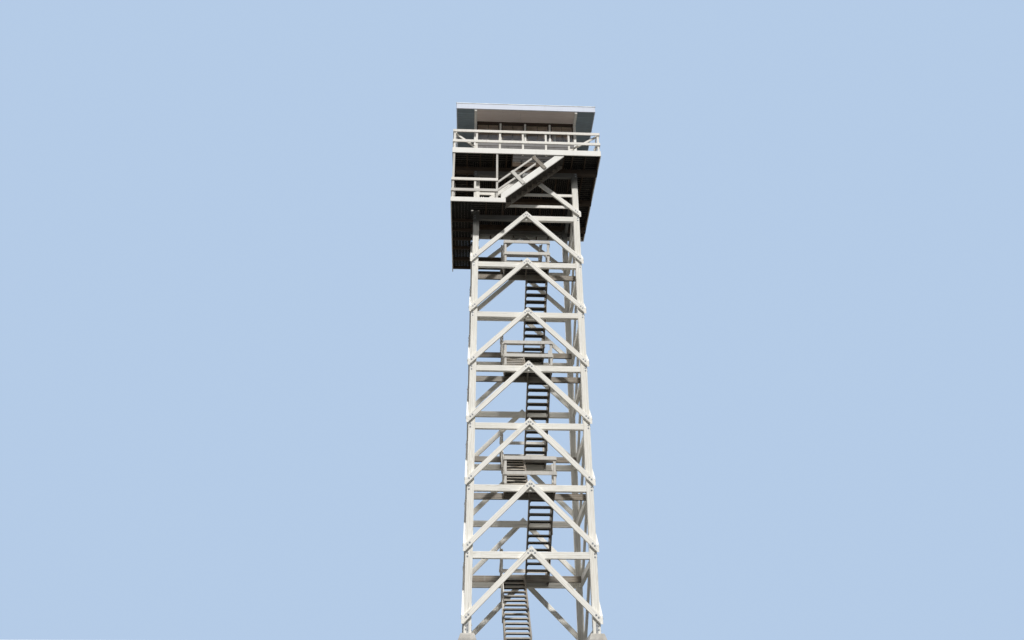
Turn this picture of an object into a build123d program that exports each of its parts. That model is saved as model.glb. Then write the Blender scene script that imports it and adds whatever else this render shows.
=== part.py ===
"""A timber fire lookout tower with a glazed cab, a catwalk and a switchback stair.

Lengths are in millimetres. The origin is on the ground at the tower's centre, +Z is up,
the front face looks along -Y and +X is to the right of someone who faces the front.
"""
from build123d import *
from math import atan2, degrees, hypot
import os

# Tower frame
LEG_SPACING = 4330.0
LEG_SIZE = 254.0
PIER_BASE = 660.0
PIER_HEAD = 460.0
PIER_HEIGHT = 300.0
PANEL_HEIGHT = 2415.0
PANELS = 8
FIRST_GIRT = 490.0
GIRT_DEPTH = 241.0
GIRT_THICKNESS = 140.0
BRACE_WIDTH = 190.0
BRACE_THICKNESS = 89.0
BRACE_FOOT = 380.0
BRACE_HEAD = 170.0
TOP_BRACE_DROP = 0.75

# Switchback stair inside the tower
STAIR_WIDTH = 1890.0
FLIGHT_GAP = 10.0
LANDING_DEPTH = 1054.0
FOOT_LAP = 200.0
FOOT_CLEARANCE = 5.0
STRINGER_THICKNESS = 51.0
STRINGER_DEPTH = 286.0
STRINGER_MARGIN = 40.0
TREAD_THICKNESS = 51.0
TREAD_DEPTH = 241.0
FLIGHT_RISERS = 12
FIRST_FLIGHT_RISERS = 15
LANDING_BEAM_DEPTH = 235.0
LANDING_BEAM_WIDTH = 89.0
LANDING_JOIST_DEPTH = 184.0
LANDING_JOISTS = 3
JOIST_WIDTH = 51.0
BOARD = 38.0
CLEAT = 38.0

# Rails
POST = 89.0
RAIL_WIDTH = 140.0
RAIL_THICKNESS = 38.0
RAIL_HEIGHT = 1050.0
MID_RAIL_HEIGHT = 400.0
HANDRAIL_WIDTH = 89.0
HANDRAIL_HEIGHT = 850.0
HANDRAIL_POSTS = 3
GUARD_BAR_HEIGHTS = (640.0, 1270.0)
RAIL_DIAGONAL = 89.0
LEFT_END_BAY = 975.0
RIGHT_END_BAY = 1310.0
MIDDLE_BAYS = 4

# Walkway outside the left face, and the last flight
WALKWAY_RISE = 310.0
WALKWAY_RIM_DEPTH = 228.0
WALKWAY_CLEARANCE = 11.0
WALKWAY_REAR = 2210.0
WALKWAY_FIRST_JOIST = -1750.0
WALKWAY_JOIST_STEP = 700.0
WALKWAY_JOISTS = 4
FRONT_LANDING_JOISTS = 2
FRONT_LANDING_END = 930.0
LAST_FLIGHT_START = -1130.0
LAST_FLIGHT_RISERS = 13
LAST_FLIGHT_GOING = 230.0
LAST_FLIGHT_WIDTH = 823.0
LAST_FLIGHT_FIRST_POST = 460.0
LAST_FLIGHT_LAST_POST = 115.0
HATCH_HEADROOM = 1950.0
HATCH_MARGIN = 60.0
HANGER_X = -1300.0
HANGER_Y = 1050.0

# Deck under the cab
DECK_OVERHANG = 969.0
DECK_JOIST_DEPTH = 235.0
DECK_JOISTS = 12
BEAM_DEPTH = 216.5
MID_BEAM_WIDTH = 203.0
DECK_RIM_DEPTH = 286.0

# Cab
CAB_WIDTH = 4680.0
CAB_FLOOR_RISE = 40.0
WALL_THICKNESS = 120.0
SILL_HEIGHT = 1160.0
WALL_HEIGHT = 2266.0
PLATE_DEPTH = 89.0
WINDOW_POST = 90.0
BAYS = 4
SASH_WIDTH = 55.0
SASH_THICKNESS = 45.0
GLASS_THICKNESS = 6.0
DOOR_JAMB = 64.0
DOOR_HEIGHT = 2030.0
DOOR_THICKNESS = 40.0
DOOR_STILE = 105.0
DOOR_BOTTOM_RAIL = 220.0
DOOR_LOCK_RAIL = 160.0
DOOR_WAIST = 980.0
DOOR_PANEL = 16.0
DOOR_CLEARANCE = 4.0
HINGE_CLEARANCE = 0.3

# Roof
ROOF_WIDTH = 6310.0
SOFFIT = 15.0
FASCIA_DEPTH = 300.0
FASCIA_THICKNESS = 38.0
ROOF_EDGE = 25.0
ROOF_LIP = 15.0
ROOF_RISE = 60.0
CROWN_WIDTH = 800.0
ROOF_JOISTS = 9

# Space left between two pieces of one kind that meet
JOINT = 0.5

# Places worked out from the sizes above
LEG_CENTRE = LEG_SPACING / 2
LEG_OUTER = LEG_CENTRE + LEG_SIZE / 2
LEG_INNER = LEG_CENTRE - LEG_SIZE / 2
GIRT_INNER = LEG_OUTER - GIRT_THICKNESS
BRACE_OUTER = LEG_OUTER + BRACE_THICKNESS
GIRTS = [FIRST_GIRT + PANEL_HEIGHT * level for level in range(PANELS + 1)]
LEG_TOP = GIRTS[-1] + GIRT_DEPTH / 2
STAIR_HALF = STAIR_WIDTH / 2
LANDING_EDGE = LEG_OUTER - LANDING_DEPTH
LANDING_LEVELS = GIRTS[1:-1]
BEAM_TOP = LEG_TOP + BEAM_DEPTH
JOIST_TOP = BEAM_TOP + DECK_JOIST_DEPTH
DECK_TOP = JOIST_TOP + BOARD
CAB_HALF = CAB_WIDTH / 2
CAB_INNER = CAB_HALF - WALL_THICKNESS
DECK_HALF = max(LEG_OUTER + DECK_OVERHANG, CAB_HALF + HATCH_MARGIN + LAST_FLIGHT_WIDTH + BOARD)
DECK_INNER = DECK_HALF - BOARD
WALKWAY_GIRT = GIRTS[-2]
WALKWAY_TOP = WALKWAY_GIRT + WALKWAY_RISE
WALKWAY_JOIST_TOP = WALKWAY_TOP - BOARD
WALKWAY_INNER = BRACE_OUTER + WALKWAY_CLEARANCE
CAB_FLOOR = DECK_TOP + CAB_FLOOR_RISE
SILL_TOP = CAB_FLOOR + SILL_HEIGHT
WALL_TOP = CAB_FLOOR + WALL_HEIGHT
SOFFIT_BOTTOM = WALL_TOP + PLATE_DEPTH
ROOF_HALF = ROOF_WIDTH / 2
ROOF_INNER = ROOF_HALF - FASCIA_THICKNESS
FASCIA_TOP = SOFFIT_BOTTOM + FASCIA_DEPTH
HATCH_FRONT = DECK_INNER
HATCH_REAR = DECK_INNER - LAST_FLIGHT_WIDTH

TURNS = {"front": 0, "right": 90, "back": 180, "left": 270}


def block(x_range, y_range, z_range):
    """A squared timber between three pairs of faces."""
    spans = [(min(pair), max(pair)) for pair in (x_range, y_range, z_range)]
    centre = [(low + high) / 2 for low, high in spans]
    return Pos(*centre) * Box(*[high - low for low, high in spans])


def plank_xz(points, y_range):
    """A plank cut to an outline in the XZ plane, as thick as the span in Y."""
    low, high = min(y_range), max(y_range)
    outline = Plane.XZ.offset(-low) * Polygon(*points, align=None)
    return extrude(outline, amount=high - low, dir=(0, 1, 0))


def plank_yz(points, x_range):
    """A plank cut to an outline in the YZ plane, as thick as the span in X."""
    low, high = min(x_range), max(x_range)
    outline = Plane.YZ.offset(low) * Polygon(*points, align=None)
    return extrude(outline, amount=high - low, dir=(1, 0, 0))


def on_side(side, pieces):
    """Pieces made for the front face, turned about the tower's axis to another one."""
    return [Rot(0, 0, TURNS[side]) * piece for piece in pieces]


def save(name, pieces):
    """Write one node, with each of its pieces as a solid of its own."""
    solids = [solid for piece in pieces for solid in piece.solids()]
    shape = solids[0] if len(solids) == 1 else Compound(children=solids)
    export_step(shape, f"parts/{name}.step")


def spread(low, high, count):
    """Evenly spaced places from low to high, both included."""
    return [low + (high - low) * step / (count - 1) for step in range(count)]


def corners(half):
    """The four corners of a square about the tower's axis."""
    return [(x, y) for x in (-half, half) for y in (-half, half)]


def piers():
    """Concrete piers that taper from the ground up to the legs' feet."""
    taper = degrees(atan2((PIER_BASE - PIER_HEAD) / 2, PIER_HEIGHT))
    pier = extrude(Rectangle(PIER_BASE, PIER_BASE), amount=PIER_HEIGHT, taper=taper)
    return [Pos(x, y, 0) * pier for x, y in corners(LEG_CENTRE)]


def leg(x, y):
    """One squared leg, from its pier up to the deck beams."""
    half = LEG_SIZE / 2
    return block((x - half, x + half), (y - half, y + half), (PIER_HEIGHT, LEG_TOP))


def face_girts(levels):
    """Girts of the front face, set between the legs and flush with their outer faces."""
    return [
        block((-LEG_INNER, LEG_INNER), (-LEG_OUTER, -GIRT_INNER),
              (level - GIRT_DEPTH / 2, level + GIRT_DEPTH / 2))
        for level in levels
    ]


def brace(level, side):
    """One half of a panel's chevron, bolted on the outer faces of leg and girt.

    Its axis runs from the leg, BRACE_FOOT above the lower girt, up to the face's
    middle, BRACE_HEAD above the upper girt, or under the deck's beams in the top
    panel. Both ends are cut plumb.
    """
    foot = level + BRACE_FOOT
    head = min(level + PANEL_HEIGHT + BRACE_HEAD, LEG_TOP - TOP_BRACE_DROP * BRACE_WIDTH)
    slope = (head - foot) / LEG_CENTRE
    half = BRACE_WIDTH / 2 * hypot(1, slope)
    ends = ((LEG_OUTER, head - slope * LEG_OUTER), (JOINT, head - slope * JOINT))
    (outer_x, outer_z), (inner_x, inner_z) = ends
    outline = [
        (side * outer_x, outer_z - half), (side * inner_x, inner_z - half),
        (side * inner_x, inner_z + half), (side * outer_x, outer_z + half),
    ]
    return plank_xz(outline, (-BRACE_OUTER, -LEG_OUTER))


def face_braces(skipped=()):
    """The chevrons of the front face, without the halves named by panel and side."""
    return [
        brace(GIRTS[panel], side)
        for panel in range(PANELS) for side in (-1, 1) if (panel, side) not in skipped
    ]


class Flight:
    """Open-riser stair that climbs along +s from one floor to the next."""

    def __init__(self, start, bottom, top, risers, going):
        self.start = start
        self.bottom = bottom
        self.top = top
        self.risers = risers
        self.going = going
        self.rise = (top - bottom) / risers
        self.slope = self.rise / going
        self.stretch = hypot(1, self.slope)
        self.end = start + going * (risers - 1)

    def pitch(self, place):
        """Height of the line through the nosings."""
        return self.bottom + self.rise + self.slope * (place - self.start)

    def stringer(self):
        """Outline of a stringer: plumb at both ends, level on both floors."""
        above = STRINGER_MARGIN * self.stretch
        below = STRINGER_DEPTH * self.stretch - above
        heel = self.start + (below - self.rise) / self.slope
        return [
            (self.start, self.bottom), (heel, self.bottom),
            (self.end, self.top - below), (self.end, self.top),
            (self.end - above / self.slope, self.top), (self.start, self.bottom + self.rise + above),
        ]

    def treads(self):
        """Spans in s and z of the treads, from the lowest up."""
        spans = []
        for step in range(1, self.risers):
            rear = self.start + self.going * step
            level = self.bottom + self.rise * step
            spans.append(((rear - TREAD_DEPTH, rear), (level - TREAD_THICKNESS, level)))
        return spans

    def rail(self, low, high, height, width):
        """Outline of a sloping rail from low to high, its top at a height over the pitch."""
        drop = width * self.stretch
        return [
            (low, self.pitch(low) + height - drop), (high, self.pitch(high) + height - drop),
            (high, self.pitch(high) + height), (low, self.pitch(low) + height),
        ]

    def posts(self, places):
        """Outlines of rail posts that run up from the stringer's lower half."""
        half = POST / 2
        foot = STRINGER_DEPTH / 2 * self.stretch
        return [
            [(place - half, self.pitch(place) - foot), (place + half, self.pitch(place) - foot),
             (place + half, self.pitch(place + half) + HANDRAIL_HEIGHT),
             (place - half, self.pitch(place - half) + HANDRAIL_HEIGHT)]
            for place in places
        ]


def inner_flights():
    """The seven flights inside the tower, each with the way it climbs and its side.

    Way 1 is towards the back along +Y, on the left, side -1. Way -1 is towards the front
    along -Y, on the right, side 1.
    """
    floors = [0.0] + [level + GIRT_DEPTH / 2 + BOARD for level in LANDING_LEVELS]
    going = (2 * LANDING_EDGE + FOOT_LAP) / (FLIGHT_RISERS - 1)
    flights = []
    for index in range(len(LANDING_LEVELS)):
        risers = FLIGHT_RISERS if index else FIRST_FLIGHT_RISERS
        start = LANDING_EDGE - going * (risers - 1)
        flight = Flight(start, floors[index], floors[index + 1], risers, going)
        way = landing_direction(index)
        flights.append((flight, way, -way))
    return flights


def turned(points, way):
    """An outline or a span in s, laid along +Y for way 1 and along -Y for way -1."""
    return [(way * place, height) for place, height in points]


def flight_span(side):
    """The outer and inner faces in X of the flights on one side of the middle."""
    return side * STAIR_HALF, side * FLIGHT_GAP / 2


def inner_stringers():
    """Two stringers to each flight inside the tower."""
    planks = []
    for flight, way, side in inner_flights():
        outer, inner = flight_span(side)
        outline = turned(flight.stringer(), way)
        planks.append(plank_yz(outline, (outer, outer - side * STRINGER_THICKNESS)))
        planks.append(plank_yz(outline, (inner, inner + side * STRINGER_THICKNESS)))
    return planks


def inner_treads(wanted):
    """Treads of the flights that climb one way."""
    boards = []
    for flight, way, side in inner_flights():
        if way != wanted:
            continue
        outer, inner = flight_span(side)
        width = (outer - side * STRINGER_THICKNESS, inner + side * STRINGER_THICKNESS)
        for (front, rear), height in flight.treads():
            boards.append(block(width, (way * front, way * rear), height))
    return boards


def cleats_along(flight):
    """Spans in s and z of the cleats under a flight's treads."""
    return [((front, rear), (low - CLEAT, low)) for (front, rear), (low, high) in flight.treads()]


def inner_cleats():
    """Cleats on the stringers' inner faces, one under each end of each tread."""
    blocks = []
    for flight, way, side in inner_flights():
        outer, inner = flight_span(side)
        faces = ((outer - side * STRINGER_THICKNESS, -side), (inner + side * STRINGER_THICKNESS, side))
        for (front, rear), height in cleats_along(flight):
            for face, inward in faces:
                blocks.append(block((face, face + inward * CLEAT), (way * front, way * rear), height))
    return blocks


def inner_handrails():
    """Posts, a handrail and a mid rail on the outer side of each flight inside the tower."""
    timbers = []
    for flight, way, side in inner_flights():
        face = side * STAIR_HALF
        low = max(flight.start, -LANDING_EDGE)
        places = spread(low + POST / 2, LANDING_EDGE - POST / 2, HANDRAIL_POSTS)
        timbers += [plank_yz(turned(post, way), (face, face + side * RAIL_THICKNESS))
                    for post in flight.posts(places)]
        for height in (HANDRAIL_HEIGHT, HANDRAIL_HEIGHT / 2):
            outline = turned(flight.rail(low, LANDING_EDGE, height, HANDRAIL_WIDTH), way)
            timbers.append(plank_yz(outline, (face, face - side * RAIL_THICKNESS)))
    return timbers


def landing_direction(index):
    """-1 for a landing at the front, 1 for one at the back."""
    return 1 if index % 2 == 0 else -1


def landing_frames():
    """A beam across the tower and joists out to the girt, under each landing."""
    timbers = []
    for index, level in enumerate(LANDING_LEVELS):
        out = landing_direction(index)
        top = level + GIRT_DEPTH / 2
        beam_back = out * (LANDING_EDGE + LANDING_BEAM_WIDTH)
        timbers.append(block((-GIRT_INNER, GIRT_INNER), (out * LANDING_EDGE, beam_back),
                             (top - LANDING_BEAM_DEPTH, top)))
        half = STAIR_HALF - JOIST_WIDTH / 2
        places = spread(-half, half, LANDING_JOISTS)
        if index == len(LANDING_LEVELS) - 1:
            places.append(-STAIR_HALF - JOIST_WIDTH / 2 - JOINT)
        for x in places:
            timbers.append(block((x - JOIST_WIDTH / 2, x + JOIST_WIDTH / 2),
                                 (beam_back + out * JOINT, out * GIRT_INNER),
                                 (top - LANDING_JOIST_DEPTH, top)))
    return timbers


def landing_floors():
    """The boarded floor of each landing."""
    floors = []
    for index, level in enumerate(LANDING_LEVELS):
        out = landing_direction(index)
        top = level + GIRT_DEPTH / 2
        floors.append(block((-STAIR_HALF, STAIR_HALF), (out * LANDING_EDGE, out * LEG_OUTER),
                            (top, top + BOARD)))
    return floors


def rail_spans(floor):
    """Height spans of the mid rail and the top rail over a floor."""
    middle = floor + MID_RAIL_HEIGHT
    return [(middle - RAIL_WIDTH / 2, middle + RAIL_WIDTH / 2),
            (floor + RAIL_HEIGHT - RAIL_WIDTH, floor + RAIL_HEIGHT)]


def landing_end_rails():
    """Rails across the outer end of each landing, on a post at each corner."""
    timbers = []
    for index, level in enumerate(LANDING_LEVELS):
        out = landing_direction(index)
        floor = level + GIRT_DEPTH / 2 + BOARD
        timbers += [
            block((side * STAIR_HALF, side * (STAIR_HALF - POST)),
                  (out * LEG_OUTER, out * (LEG_OUTER - POST)), (floor, floor + RAIL_HEIGHT))
            for side in (-1, 1)
        ]
        outside = (out * LEG_OUTER, out * (LEG_OUTER + RAIL_THICKNESS))
        timbers += [block((-STAIR_HALF, STAIR_HALF), outside, span) for span in rail_spans(floor)]
    return timbers


def landing_side_rails():
    """Rails along both sides of each landing, apart from the way out to the walkway.

    Their posts stand behind the foot of the flight that leaves the landing.
    """
    timbers = []
    post_edge = LANDING_EDGE + FOOT_LAP + FOOT_CLEARANCE
    for index, level in enumerate(LANDING_LEVELS):
        out = landing_direction(index)
        floor = level + GIRT_DEPTH / 2 + BOARD
        length = (out * LANDING_EDGE, out * LEG_OUTER)
        way_out = index == len(LANDING_LEVELS) - 1
        for side in (1,) if way_out else (-1, 1):
            face = side * STAIR_HALF
            timbers.append(block((face, face - side * POST), (out * post_edge, out * (post_edge + POST)),
                                 (floor, floor + RAIL_HEIGHT)))
            timbers += [block((face, face + side * RAIL_THICKNESS), length, span)
                        for span in rail_spans(floor)]
    return timbers


def guard_bars():
    """Two level bars between the legs at the walkway's height, on faces with no landing."""
    bars = []
    for side in ("front", "right", "left"):
        low = -LANDING_EDGE + POST if side == "left" else -LEG_INNER
        for height in GUARD_BAR_HEIGHTS:
            middle = WALKWAY_GIRT + height
            bar = block((low, LEG_INNER), (-LEG_OUTER, -LEG_OUTER + RAIL_THICKNESS),
                        (middle - RAIL_WIDTH / 2, middle + RAIL_WIDTH / 2))
            bars += on_side(side, [bar])
    return bars


def way_out_post():
    """Post on the left face, beside the way out to the walkway."""
    y_range = (LANDING_EDGE - POST, LANDING_EDGE)
    span = (WALKWAY_GIRT + GIRT_DEPTH / 2, LEG_TOP - GIRT_DEPTH)
    return block((-LEG_OUTER, -LEG_OUTER + POST), y_range, span)


def walkway_frame():
    """Joists that ride on the girts and the rims along the walkway's outer edges."""
    heights = (WALKWAY_GIRT + GIRT_DEPTH / 2, WALKWAY_JOIST_TOP)
    half = JOIST_WIDTH / 2
    outer = -DECK_INNER + JOINT
    timbers = []
    tail = -GIRT_INNER + GIRT_THICKNESS
    places = [WALKWAY_FIRST_JOIST + step * WALKWAY_JOIST_STEP for step in range(WALKWAY_JOISTS)]
    for y in places:
        timbers.append(block((outer, tail), (y - half, y + half), heights))
    for y in (LANDING_EDGE + half, LEG_INNER - half):
        timbers.append(block((outer, -STAIR_HALF - JOINT), (y - half, y + half), heights))
    for x in places[:FRONT_LANDING_JOISTS]:
        timbers.append(block((x - half, x + half), (outer, tail), heights))
    rim = (WALKWAY_TOP - WALKWAY_RIM_DEPTH, WALKWAY_TOP)
    timbers.append(block((-DECK_HALF, -FRONT_LANDING_END), (-DECK_HALF, -DECK_INNER), rim))
    timbers.append(block((-DECK_HALF, -DECK_INNER), (-DECK_INNER + JOINT, WALKWAY_REAR), rim))
    return timbers


def walkway_floor():
    """Boarded floors of the walkway, its front landing and the way out to it."""
    heights = (WALKWAY_JOIST_TOP, WALKWAY_TOP)
    return [
        block((-DECK_INNER, -WALKWAY_INNER), (-DECK_INNER, WALKWAY_REAR), heights),
        block((-WALKWAY_INNER + JOINT, -FRONT_LANDING_END), (-DECK_INNER, -WALKWAY_INNER), heights),
        block((-WALKWAY_INNER + JOINT, -STAIR_HALF), (LANDING_EDGE, LEG_INNER), heights),
    ]


def hangers():
    """Posts that hang the walkway's outer edge from the deck."""
    posts = []
    inner = -DECK_INNER + POST
    places = [(-DECK_INNER + POST / 2, BEAM_TOP), (-HANGER_Y, BEAM_TOP), (HANGER_Y, BEAM_TOP),
              (LEG_CENTRE, LEG_TOP)]
    for y, top in places:
        posts.append(block((-DECK_INNER, inner), (y - POST / 2, y + POST / 2), (WALKWAY_TOP, top)))
    posts.append(block((HANGER_X - POST / 2, HANGER_X + POST / 2), (-DECK_INNER, inner),
                       (WALKWAY_TOP, JOIST_TOP)))
    return posts


def walkway_rails():
    """Rails along the walkway's outer edges, on the hangers and the posts between them."""
    spans = rail_spans(WALKWAY_TOP)
    heights = (WALKWAY_TOP, WALKWAY_TOP + RAIL_HEIGHT)
    outside = (-DECK_HALF, -DECK_INNER)
    inside = (-DECK_INNER, -DECK_INNER + POST)
    half = POST / 2
    middle = (-DECK_INNER + half + HANGER_X) / 2
    front = [block((middle - half, middle + half), inside, heights)]
    front += [block((-DECK_HALF, HANGER_X + half), outside, span) for span in spans]
    side = [block(inside, (place - half, place + half), heights) for place in (-LEG_CENTRE, 0)]
    side += [block(outside, (-DECK_INNER + JOINT, WALKWAY_REAR), span) for span in spans]
    end_post = (-WALKWAY_INNER - POST, -WALKWAY_INNER)
    rear = [block(end_post, (WALKWAY_REAR - POST, WALKWAY_REAR), heights)]
    rear += [block((-DECK_HALF, -WALKWAY_INNER), (WALKWAY_REAR, WALKWAY_REAR + RAIL_THICKNESS), span)
             for span in spans]
    return front, side, rear


def last_flight():
    """The flight from the walkway's front landing up through the deck's hatch."""
    return Flight(LAST_FLIGHT_START, WALKWAY_TOP, DECK_TOP, LAST_FLIGHT_RISERS, LAST_FLIGHT_GOING)


def last_flight_stringers():
    """Stringers against the deck's front rim and beside the tower's front face."""
    outline = last_flight().stringer()
    outer = -HATCH_FRONT
    inner = -HATCH_REAR
    return [plank_xz(outline, (outer, outer + STRINGER_THICKNESS)),
            plank_xz(outline, (inner - STRINGER_THICKNESS, inner))]


def last_flight_treads():
    """Treads between the last flight's stringers."""
    width = (-HATCH_FRONT + STRINGER_THICKNESS, -HATCH_REAR - STRINGER_THICKNESS)
    return [block(places, width, heights) for places, heights in last_flight().treads()]


def last_flight_cleats():
    """Cleats under the last flight's treads."""
    faces = ((-HATCH_FRONT + STRINGER_THICKNESS, 1), (-HATCH_REAR - STRINGER_THICKNESS, -1))
    return [block(places, (face, face + inward * CLEAT), heights)
            for places, heights in cleats_along(last_flight()) for face, inward in faces]


def last_flight_handrail():
    """Handrail and mid rail behind posts set square to the last flight's pitch."""
    flight = last_flight()
    low = HANGER_X + POST / 2 + JOINT
    ceiling = DECK_TOP - DECK_RIM_DEPTH - HANDRAIL_HEIGHT
    high = flight.start + (ceiling - flight.pitch(flight.start)) / flight.slope
    timbers = [plank_xz(flight.rail(low, high, height, HANDRAIL_WIDTH),
                        (-DECK_INNER, -DECK_INNER + RAIL_THICKNESS))
               for height in (HANDRAIL_HEIGHT, HANDRAIL_HEIGHT / 2)]
    lean = HANDRAIL_HEIGHT * flight.slope / flight.stretch ** 2
    half = POST / 2 * flight.stretch
    foot = STRINGER_DEPTH / 2 * flight.stretch
    for place in (flight.start + LAST_FLIGHT_FIRST_POST, high - LAST_FLIGHT_LAST_POST):
        base = place + lean
        drop = lean * foot / HANDRAIL_HEIGHT
        outline = [
            (base + drop - half, flight.pitch(place + lean - half) - foot),
            (base + drop + half, flight.pitch(place + lean + half) - foot),
            (place + half, flight.pitch(place + half) + HANDRAIL_HEIGHT),
            (place - half, flight.pitch(place - half) + HANDRAIL_HEIGHT),
        ]
        timbers.append(plank_xz(outline, (-DECK_HALF, -DECK_INNER)))
    return timbers


def hatch_span():
    """The hatch's span in X: from where headroom runs out to the flight's top."""
    flight = last_flight()
    ceiling = DECK_TOP - DECK_RIM_DEPTH
    start = flight.start + (ceiling - HATCH_HEADROOM - flight.bottom) / flight.slope
    return start, flight.end


def deck_beams():
    """Three beams across the legs and the side girts."""
    beams = []
    for y, width in ((-LEG_CENTRE, LEG_SIZE), (0, MID_BEAM_WIDTH), (LEG_CENTRE, LEG_SIZE)):
        beams.append(block((-DECK_INNER, DECK_INNER), (y - width / 2, y + width / 2), (LEG_TOP, BEAM_TOP)))
    return beams


def deck_joists():
    """Joists from rim to rim, cut short behind the hatch, with the hatch's own frame."""
    heights = (BEAM_TOP, JOIST_TOP)
    hatch_low, hatch_high = hatch_span()
    half = JOIST_WIDTH / 2
    frame_reach = 2 * JOIST_WIDTH
    timbers = []
    for x in spread(-DECK_INNER + half, DECK_INNER - half, DECK_JOISTS):
        over_hatch = hatch_low - frame_reach < x < hatch_high + frame_reach
        front = -HATCH_REAR + JOIST_WIDTH + JOINT if over_hatch else -DECK_INNER
        timbers.append(block((x - half, x + half), (front, DECK_INNER), heights))
    rear = -HATCH_REAR
    for low in (hatch_low - JOIST_WIDTH, hatch_high):
        timbers.append(block((low, low + JOIST_WIDTH), (-DECK_INNER, -LEG_INNER), heights))
    timbers.append(block((hatch_low + JOINT, hatch_high - JOINT), (rear, rear + JOIST_WIDTH), heights))
    return timbers


def deck_rims():
    """Rim boards round the deck's edge, flush with the catwalk's boards."""
    heights = (DECK_TOP - DECK_RIM_DEPTH, DECK_TOP)
    reach = DECK_INNER - JOINT
    rims = []
    for side in (-1, 1):
        edge = (side * DECK_HALF, side * DECK_INNER)
        rims.append(block((-DECK_HALF, DECK_HALF), edge, heights))
        rims.append(block(edge, (-reach, reach), heights))
    return rims


def catwalk_floor():
    """Boarded floor round the cab, open at the hatch."""
    heights = (JOIST_TOP, DECK_TOP)
    hatch_low, hatch_high = hatch_span()
    wall = CAB_HALF + JOINT
    return [
        block((-DECK_INNER, hatch_low), (-DECK_INNER, -wall), heights),
        block((hatch_high, DECK_INNER), (-DECK_INNER, -wall), heights),
        block((hatch_low + JOINT, hatch_high - JOINT), (-HATCH_REAR, -wall), heights),
        block((-DECK_INNER, DECK_INNER), (wall, DECK_INNER), heights),
        block((-DECK_INNER, -wall), (-wall + JOINT, wall - JOINT), heights),
        block((wall, DECK_INNER), (-wall + JOINT, wall - JOINT), heights),
    ]


def catwalk_rail(side):
    """One side of the catwalk's rail: posts, two rails and a diagonal in each end bay."""
    front = side == "front"
    corner = DECK_INNER - POST / 2
    places = spread(-corner + LEFT_END_BAY, corner - RIGHT_END_BAY, MIDDLE_BAYS + 1)
    lapping = side in ("front", "back")
    if lapping:
        places = [-corner] + places + [corner]
    hatch_low, hatch_high = hatch_span()
    timbers = []
    for x in places:
        over_hatch = front and hatch_low - POST / 2 < x < hatch_high + POST / 2
        foot = DECK_TOP - DECK_RIM_DEPTH if over_hatch else DECK_TOP
        timbers.append(block((x - POST / 2, x + POST / 2), (-DECK_INNER, -DECK_INNER + POST),
                             (foot, DECK_TOP + RAIL_HEIGHT)))
    reach = DECK_HALF if lapping else DECK_INNER - JOINT
    for span in rail_spans(DECK_TOP):
        timbers.append(block((-reach, reach), (-DECK_HALF, -DECK_INNER), span))
    inner = -DECK_INNER + POST
    far = DECK_INNER if lapping else DECK_INNER - POST - RAIL_THICKNESS
    for end, bay in ((-1, LEFT_END_BAY), (1, RIGHT_END_BAY)):
        near = corner - bay - POST / 2
        slope = (RAIL_HEIGHT - RAIL_DIAGONAL) / bay
        depth = RAIL_DIAGONAL * hypot(1, slope)
        high = min(DECK_TOP + depth + slope * (far - near), DECK_TOP + RAIL_HEIGHT)
        outline = [(end * near, DECK_TOP), (end * far, high - depth),
                   (end * far, high), (end * near, DECK_TOP + depth)]
        timbers.append(plank_xz(outline, (inner, inner + RAIL_THICKNESS)))
    return on_side(side, timbers)


def bay_edges():
    """The faces of the window posts along one wall, as the spans of its bays."""
    width = (2 * CAB_INNER - WINDOW_POST * (BAYS - 1)) / BAYS
    lows = [-CAB_INNER + (width + WINDOW_POST) * bay for bay in range(BAYS)]
    return [(low, low + width) for low in lows]


def lower_wall(side):
    """The boarded wall under one side's windows."""
    bays = bay_edges()
    start = bays[1][0] if side == "right" else bays[0][0]
    panel = block((start, bays[-1][1]), (-CAB_HALF, -CAB_INNER), (CAB_FLOOR, SILL_TOP))
    return on_side(side, [panel])


def cab_posts():
    """Corner posts and window posts. The post beside the door stands on the floor."""
    posts = []
    heights = (CAB_FLOOR, WALL_TOP)
    for x in (-1, 1):
        for y in (-1, 1):
            posts.append(block((x * CAB_HALF, x * CAB_INNER), (y * CAB_HALF, y * CAB_INNER), heights))
    for side in TURNS:
        for bay, (low, high) in enumerate(bay_edges()[:-1]):
            foot = CAB_FLOOR if side == "right" and bay == 0 else SILL_TOP
            post = block((high, high + WINDOW_POST), (-CAB_HALF, -CAB_INNER), (foot, WALL_TOP))
            posts += on_side(side, [post])
    return posts


def wall_plates():
    """Plates on the walls. Those over the side walls run on to carry the eaves."""
    heights = (WALL_TOP, SOFFIT_BOTTOM)
    plates = [block((side * CAB_HALF, side * CAB_INNER), (-ROOF_INNER, ROOF_INNER), heights)
              for side in (-1, 1)]
    plates += [block((-CAB_INNER + JOINT, CAB_INNER - JOINT), (side * CAB_HALF, side * CAB_INNER), heights)
               for side in (-1, 1)]
    return plates


def door_frame():
    """Jambs and head of the doorway in the right wall."""
    low, high = bay_edges()[0]
    depth = (-CAB_HALF, -CAB_INNER)
    head = CAB_FLOOR + DOOR_HEIGHT
    pieces = [
        block((low, low + DOOR_JAMB), depth, (CAB_FLOOR, head)),
        block((high - DOOR_JAMB, high), depth, (CAB_FLOOR, head)),
        block((low, high), depth, (head + JOINT, WALL_TOP)),
    ]
    return on_side("right", pieces)


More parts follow.
